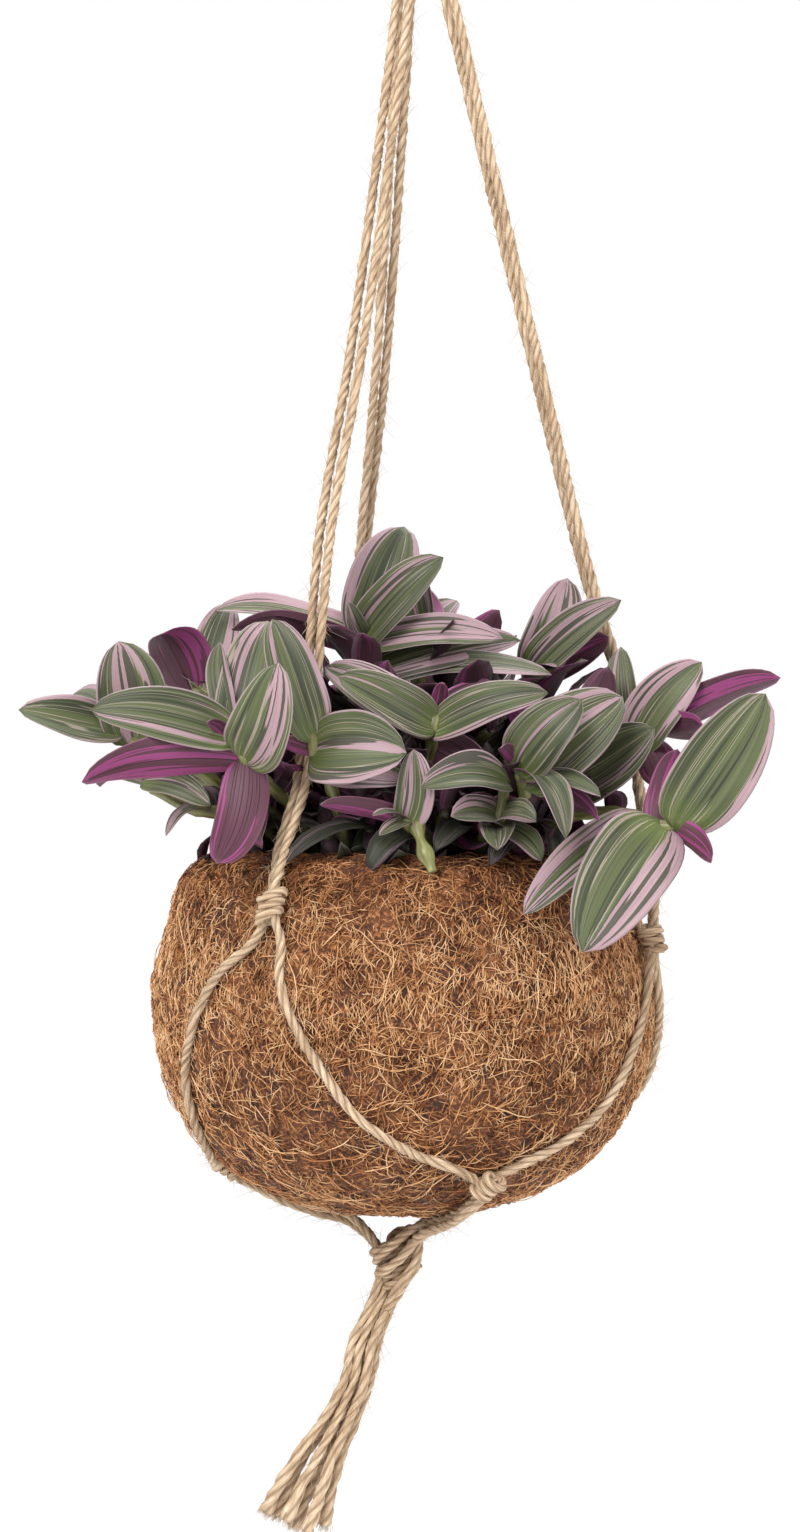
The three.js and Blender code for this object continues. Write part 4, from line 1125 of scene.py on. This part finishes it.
# How bright the leaves are on stems that hang in less or more light than the others.
leafLight = {
    "low_right": 0.84, "right_inner": 0.8, "right_front": 1.16, "mid_centre": 0.95, "low_right_inner": 0.85}

# The stems at the sides and back: azimuth, how far out and how high each ends, its leaves' size.
backStems = {
    "back_right_low": (112, 88, -348, 1),
    "back_right_far": (138, 94, -354, 0.95),
    "back_low": (172, 86, -350, 0.8),
    "back_left_far": (-136, 94, -352, 0.95),
    "back_left_low": (-104, 88, -346, 0.95),
    "back_right_mid": (122, 56, -326, 0.9),
    "back_mid": (178, 42, -306, 0.9),
    "back_left_mid": (-126, 52, -320, 0.95),
    "back_top": (150, 16, -292, 0.9),
}
growth = {
    # leaves' lengths and where on the stem they stand: the usual ones, and smaller ones low down
    "usual": ((31, 41, 44, 38, 28), (0.48, 0.64, 0.79, 0.92, 0.985)),
    "extra": ((22, 26, 26, 24, 18), (0.3, 0.4, 0.5, 0.6, 0.7)),
    "extraReach": 0.86,  # how far out their tips stand, as a share
    # turn off the stem's upper side and off its course in degrees, and how much less at each leaf
    "roll": (72, 8),
    "opening": (74, 11),
    "width": 0.49,  # as a share of the length
}
# The leaves that hang from a skirt shoot over the rim: turn from its azimuth and side that faces
# up, and between which values the others lie.
skirt = {"turns": ((-14, 1), (8, -1)), "spread": (-6, 6), "radius": (70, 81), "height": (-384, -366),
         "width": (7, 13), "bow": (3, 7)}


def drawsFrom(seed):
    # Numbers from 0 to 1: each state is 1664525 times the last plus 1013904223, in 32 bits.
    while True:
        seed = (seed * 1664525 + 1013904223) & 0xFFFFFFFF
        yield seed / 4294967296


draws = drawsFrom(7)


def between(low, high):
    # The next draw, from low to high.
    return low + (high - low) * next(draws)


def grownLeaves(path, outward, kind, size, firstRank=1):
    # Leaves by turns on either side of a stem, opening wide low down and narrow at its tip.
    tangents = unit(np.gradient(path, axis=0))
    leaves = []
    for i, (fullLength, share) in enumerate(zip(*growth[kind])):
        place = share * (len(path) - 1)
        low = min(int(place), len(path) - 2)
        base = path[low] + (path[low + 1] - path[low]) * (place - low)
        along = tangents[int(round(place))]
        lift = np.array([0, 0, 1]) + 0.5 * outward
        lift = unit(lift - along * (lift @ along))
        across = np.cross(along, lift)
        rank = firstRank if i % 2 == 0 else -firstRank
        turn, opening = (growth[key][0] - growth[key][1] * i for key in ("roll", "opening"))
        roll = math.radians(90 + rank * (turn + between(-8, 8)))
        opening = math.radians(opening + between(-6, 6))
        radial = across * math.cos(roll) + lift * math.sin(roll)
        heading = along * math.cos(opening) + radial * math.sin(opening)
        length = fullLength * size * between(0.94, 1.06)
        width = length * growth["width"]
        leaves.append(leaf(None, base, base + heading * length, width, lift, between(2, 5)))
    return leaves


def bladeShare(t):
    # Half the width of a blade as a share of the full one: (1 - |2 t^0.8 - 1|^2.4)^0.62.
    return (1 - np.abs(2 * np.clip(t, 0, 1) ** 0.8 - 1) ** 2.4) ** 0.62


def nearestOn(path, points):
    # For each point the number of the path's nearest one.
    return np.argmin(np.linalg.norm(path[None] - points[:, None], axis=-1), axis=1)


def leafBatch(leaves, path, draw, tone, rows, u):
    # A leaf is a lens-shaped ring carried along its bowed midrib: its halves fold up, its margin
    # waves, its tip nods, and its two faces meet at the margin.
    pinks, *rest = zip(*leaves)
    base, tip, width, face, bow, fold, sweep = (np.array(x, float) for x in rest)
    base = path[nearestOn(path, base)]
    start = base - unit(tip - base) * foliage["rootDepth"]
    axis = tip - start
    ahead = unit(axis)
    length = np.linalg.norm(axis, axis=-1)[:, None]
    facing = unit(face - ahead * np.sum(face * ahead, -1, keepdims=True))
    t = np.linspace(0, 1, rows)[None]
    count = len(leaves)
    nod = draw.uniform(*foliage["nod"], count)[:, None] * length * np.clip((t - 0.55) / 0.45, 0, 1) ** 2
    rise = bow[:, None] * 4 * t * (1 - t) - nod
    middle = start[:, None] + axis[:, None] * t[..., None] + facing[:, None] * rise[..., None]
    swing = (sweep + draw.normal(0, 0.4, count))[:, None] * np.sin(np.pi * t)
    middle = middle + np.cross(ahead, facing)[:, None] * swing[..., None]
    _, normal, side = framesBeside(middle, facing[:, None])
    half = np.maximum(width[:, None] / 2 * bladeShare(t), 1.3 * (1 - t) + 0.12)
    ringU = np.concatenate([u, u[-2:0:-1]])
    upper = np.concatenate([np.ones(len(u)), -np.ones(len(u) - 2)])
    fold = np.radians(fold)[:, None, None]
    half = half[..., None]
    lateral = ringU * np.cos(fold) * half
    cup = (np.sqrt(ringU**2 + 0.03) - 0.173) / 0.842
    lift = cup * np.sin(fold) * half
    phase = draw.uniform(0, 2 * np.pi, (2, count))[:, :, None, None]
    ripple = np.where(ringU > 0, np.sin(9 * t[..., None] + phase[0]), np.sin(8 * t[..., None] + phase[1]))
    lift = lift + foliage["wave"] * half * ripple * np.abs(ringU) ** 3
    body = foliage["thickness"] + foliage["rootThickness"] * np.clip(1 - t / 0.12, 0, 1)
    lift = lift + 0.5 * body[..., None] * upper * np.sqrt(np.maximum(1 - ringU**2, 0))
    rings = middle[:, :, None] + side[:, :, None] * lateral[..., None]
    rings = rings + normal[:, :, None] * lift[..., None]
    across = np.concatenate([(u + 1) / 4, (3 - u[-2::-1]) / 4])
    if pinks[0] is None:
        pinks = draw.uniform(0, 1, count) * draw.choice([-1, 1], count)
    look = np.stack([pinks, draw.uniform(*tone, count), draw.uniform(0, 90, count)], 1)
    return tubes(rings, t[0], look, across=across)


def stemBatch(path, distance, nodes, seed, brightness):
    # A round stem that thins towards its tip and swells at each leaf.
    swell = np.exp(-(((distance[:, None] - nodes) / 2.2) ** 2)).sum(axis=1)
    radius = foliage["stemRadius"] * (1 - 0.3 * distance / distance[-1]) * (1 + 0.3 * np.minimum(swell, 1))
    radius[-1] *= 0.5
    rings = roundRings(path, framesCarried(path), radius, foliage["stemSides"])
    return tubes(rings[None], distance / 10, (0, brightness, seed), material=1)


# Old shoots without leaves that hang swollen over the rim.
bareShoots = {"low_centre": [(3, -58, -360), (4, -70, -364), (6, -76, -371), (9.5, -79.5, -380)]}


def growStem(name, points, leaves, extra, seed, kind):
    # One stem with its leaves as one piece; its kind is own if the part has a node for it.
    path, distance = smoothCurve(points, 2.5)
    draw = np.random.default_rng(seed)
    nodes = distance[nearestOn(path, np.array([x[1] for x in leaves + extra], float))]
    grid = foliage["fineGrid" if kind == "own" else "coarseGrid"]
    tone = np.multiply(foliage["tones"][kind], leafLight.get(name, 1))
    batches = [leafBatch(leaves, path, draw, tone, *grid),
               leafBatch(extra, path, draw, foliage["tones"]["extra"], *foliage["coarseGrid"]),
               stemBatch(path, distance, nodes, seed, foliage["stemTones"][kind])]
    if name in bareShoots:
        shoot, reached = smoothCurve(bareShoots[name], 0.8)
        girth = 2.3 + 0.7 * np.sin(reached * 0.55) * np.clip(reached / 12, 0, 1)
        rings = roundRings(shoot, framesCarried(shoot), girth, foliage["stemSides"])
        batches.append(tubes(rings[None], 6 + reached / 10, (0, 1.0, seed), material=1))
    return tubeMesh("stem_" + name, batches, [leafMaterial, stemMaterial])


def outwardStem(azimuth, reach, height, size):
    # A stem that leaves the soil at an azimuth and ends at a reach and height, with its leaves.
    root = min(40, 0.42 * reach)
    course = ((root, -396), (root + 0.12 * reach, -366), (0.8 * reach, height - 6), (reach, height))
    points = [polar(azimuth, *place) for place in course]
    fine, _ = smoothCurve(points, 0.5)
    return points, grownLeaves(fine, polar(azimuth, 1, 0), "usual", size)


# Shoots that fill the foliage and have no node, those of the skirt low over the rim: azimuth, reach,
# height and leaves' size.
fillingRows = {
    "fill": [
        (-14, 60, -356, 0.8), (12, 66, -360, 0.7), (38, 70, -360, 0.8), (62, 72, -354, 0.85),
        (-48, 66, -358, 0.8), (-72, 70, -352, 0.85), (4, 38, -336, 0.9), (44, 44, -332, 0.9),
        (-44, 46, -330, 0.9), (80, 56, -328, 0.9), (-84, 58, -330, 0.9), (100, 74, -350, 0.85),
        (-28, 30, -318, 0.85), (64, 30, -316, 0.85), (160, 50, -340, 0.9), (-160, 60, -342, 0.9),
        (-100, 30, -316, 0.85)],
    "skirt": [
        (-62, 60, -368, 0.62), (-46, 58, -366, 0.6), (-28, 58, -368, 0.62), (-12, 58, -366, 0.6),
        (4, 60, -368, 0.62), (20, 58, -366, 0.6), (36, 60, -368, 0.62), (52, 60, -366, 0.6),
        (70, 60, -368, 0.62), *((azimuth, 60, -367, 0.62) for azimuth in (-80, 96, 150, -150, -118, 124))],
}
fillingShoots = {f"{kind}_{letter}": row for kind, rows in fillingRows.items()
                 for letter, row in zip("abcdefghijklmnopq", rows)}
grown = {name: outwardStem(*rule) for name, rule in backStems.items()}
grown.update({name: (points, [leaf(*row) for row in rows]) for name, (points, rows) in frontStems.items()})
filled = {name: outwardStem(*rule) for name, rule in fillingShoots.items()}
for name, (points, leaves) in filled.items():
    if name.startswith("skirt"):
        face = points[-1] * (0.01, 0.01, 0) + (0, 0, 0.8)  # outwards and up
        for turn, side in skirt["turns"]:
            azimuth = fillingShoots[name][0] + turn + between(*skirt["spread"])
            tip = polar(azimuth, between(*skirt["radius"]), between(*skirt["height"]))
            width, bow = between(*skirt["width"]), between(*skirt["bow"])
            leaves.append(leaf(None, points[-1], tip, width, face * side, bow))
for seed, (name, (points, leaves)) in enumerate((grown | filled).items(), 300):
    fine, _ = smoothCurve(points, 0.5)
    outward = unit(fine[-1] * (1, 1, 0))
    extra = grownLeaves(fine, outward, "extra", 1, -1)
    drawnIn = (growth["extraReach"], growth["extraReach"], 1)
    extra = [leaf(pink, base, tip * drawnIn, *rest) for pink, base, tip, *rest in extra]
    kind = "own" if name in grown else name.split("_")[0]
    piece = growStem(name, points, leaves, extra, seed, kind)
    if kind == "own":
        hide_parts("leafy_stem_" + name)
print("leafy stems made")

# Floor and surroundings


def studioFloor():
    # A pale disc that fades out towards its edge, so that it has no horizon.
    radius = studio["floorRadius"] * 0.001
    corners = studio["floorCorners"]
    turn = np.linspace(0, 2 * np.pi, corners, endpoint=False)
    z = np.full(corners, studio["floorHeight"] * 0.001)
    rim = np.stack([radius * np.cos(turn), radius * np.sin(turn), z], 1)
    mesh = bpy.data.meshes.new("studioFloor")
    mesh.from_pydata(rim.tolist(), [], [list(range(corners))])
    material, _, _ = newMaterial("paleFloor")
    x, y, _ = put("SeparateXYZ", {0: put("TexCoord").outputs["Object"]}).outputs
    far = calc("SQRT", timesPlus(x, x, times(y, y)))
    fade = calc("SUBTRACT", 1.0, stepUp(far, *np.multiply(studio["floorFade"], radius)))
    inputs = {"Base Color": (*[studio["floorShade"]] * 3, 1), "Roughness": 0.8, "Alpha": fade}
    mesh.materials.append(finish(material, inputs))
    show("studioFloor", mesh)


studioFloor()
world = bpy.data.worlds.new("studioWorld")
world.use_nodes = True
scene.world = world
begin(world.node_tree)
seen = put("LightPath").outputs["Is Camera Ray"]
difference = studio["backdrop"] - studio["surroundings"]
strength = timesPlus(seen, difference, studio["surroundings"])
feed(tree.nodes["Background"], {"Color": (1, 1, 1, 1), "Strength": strength})
print("studio made")
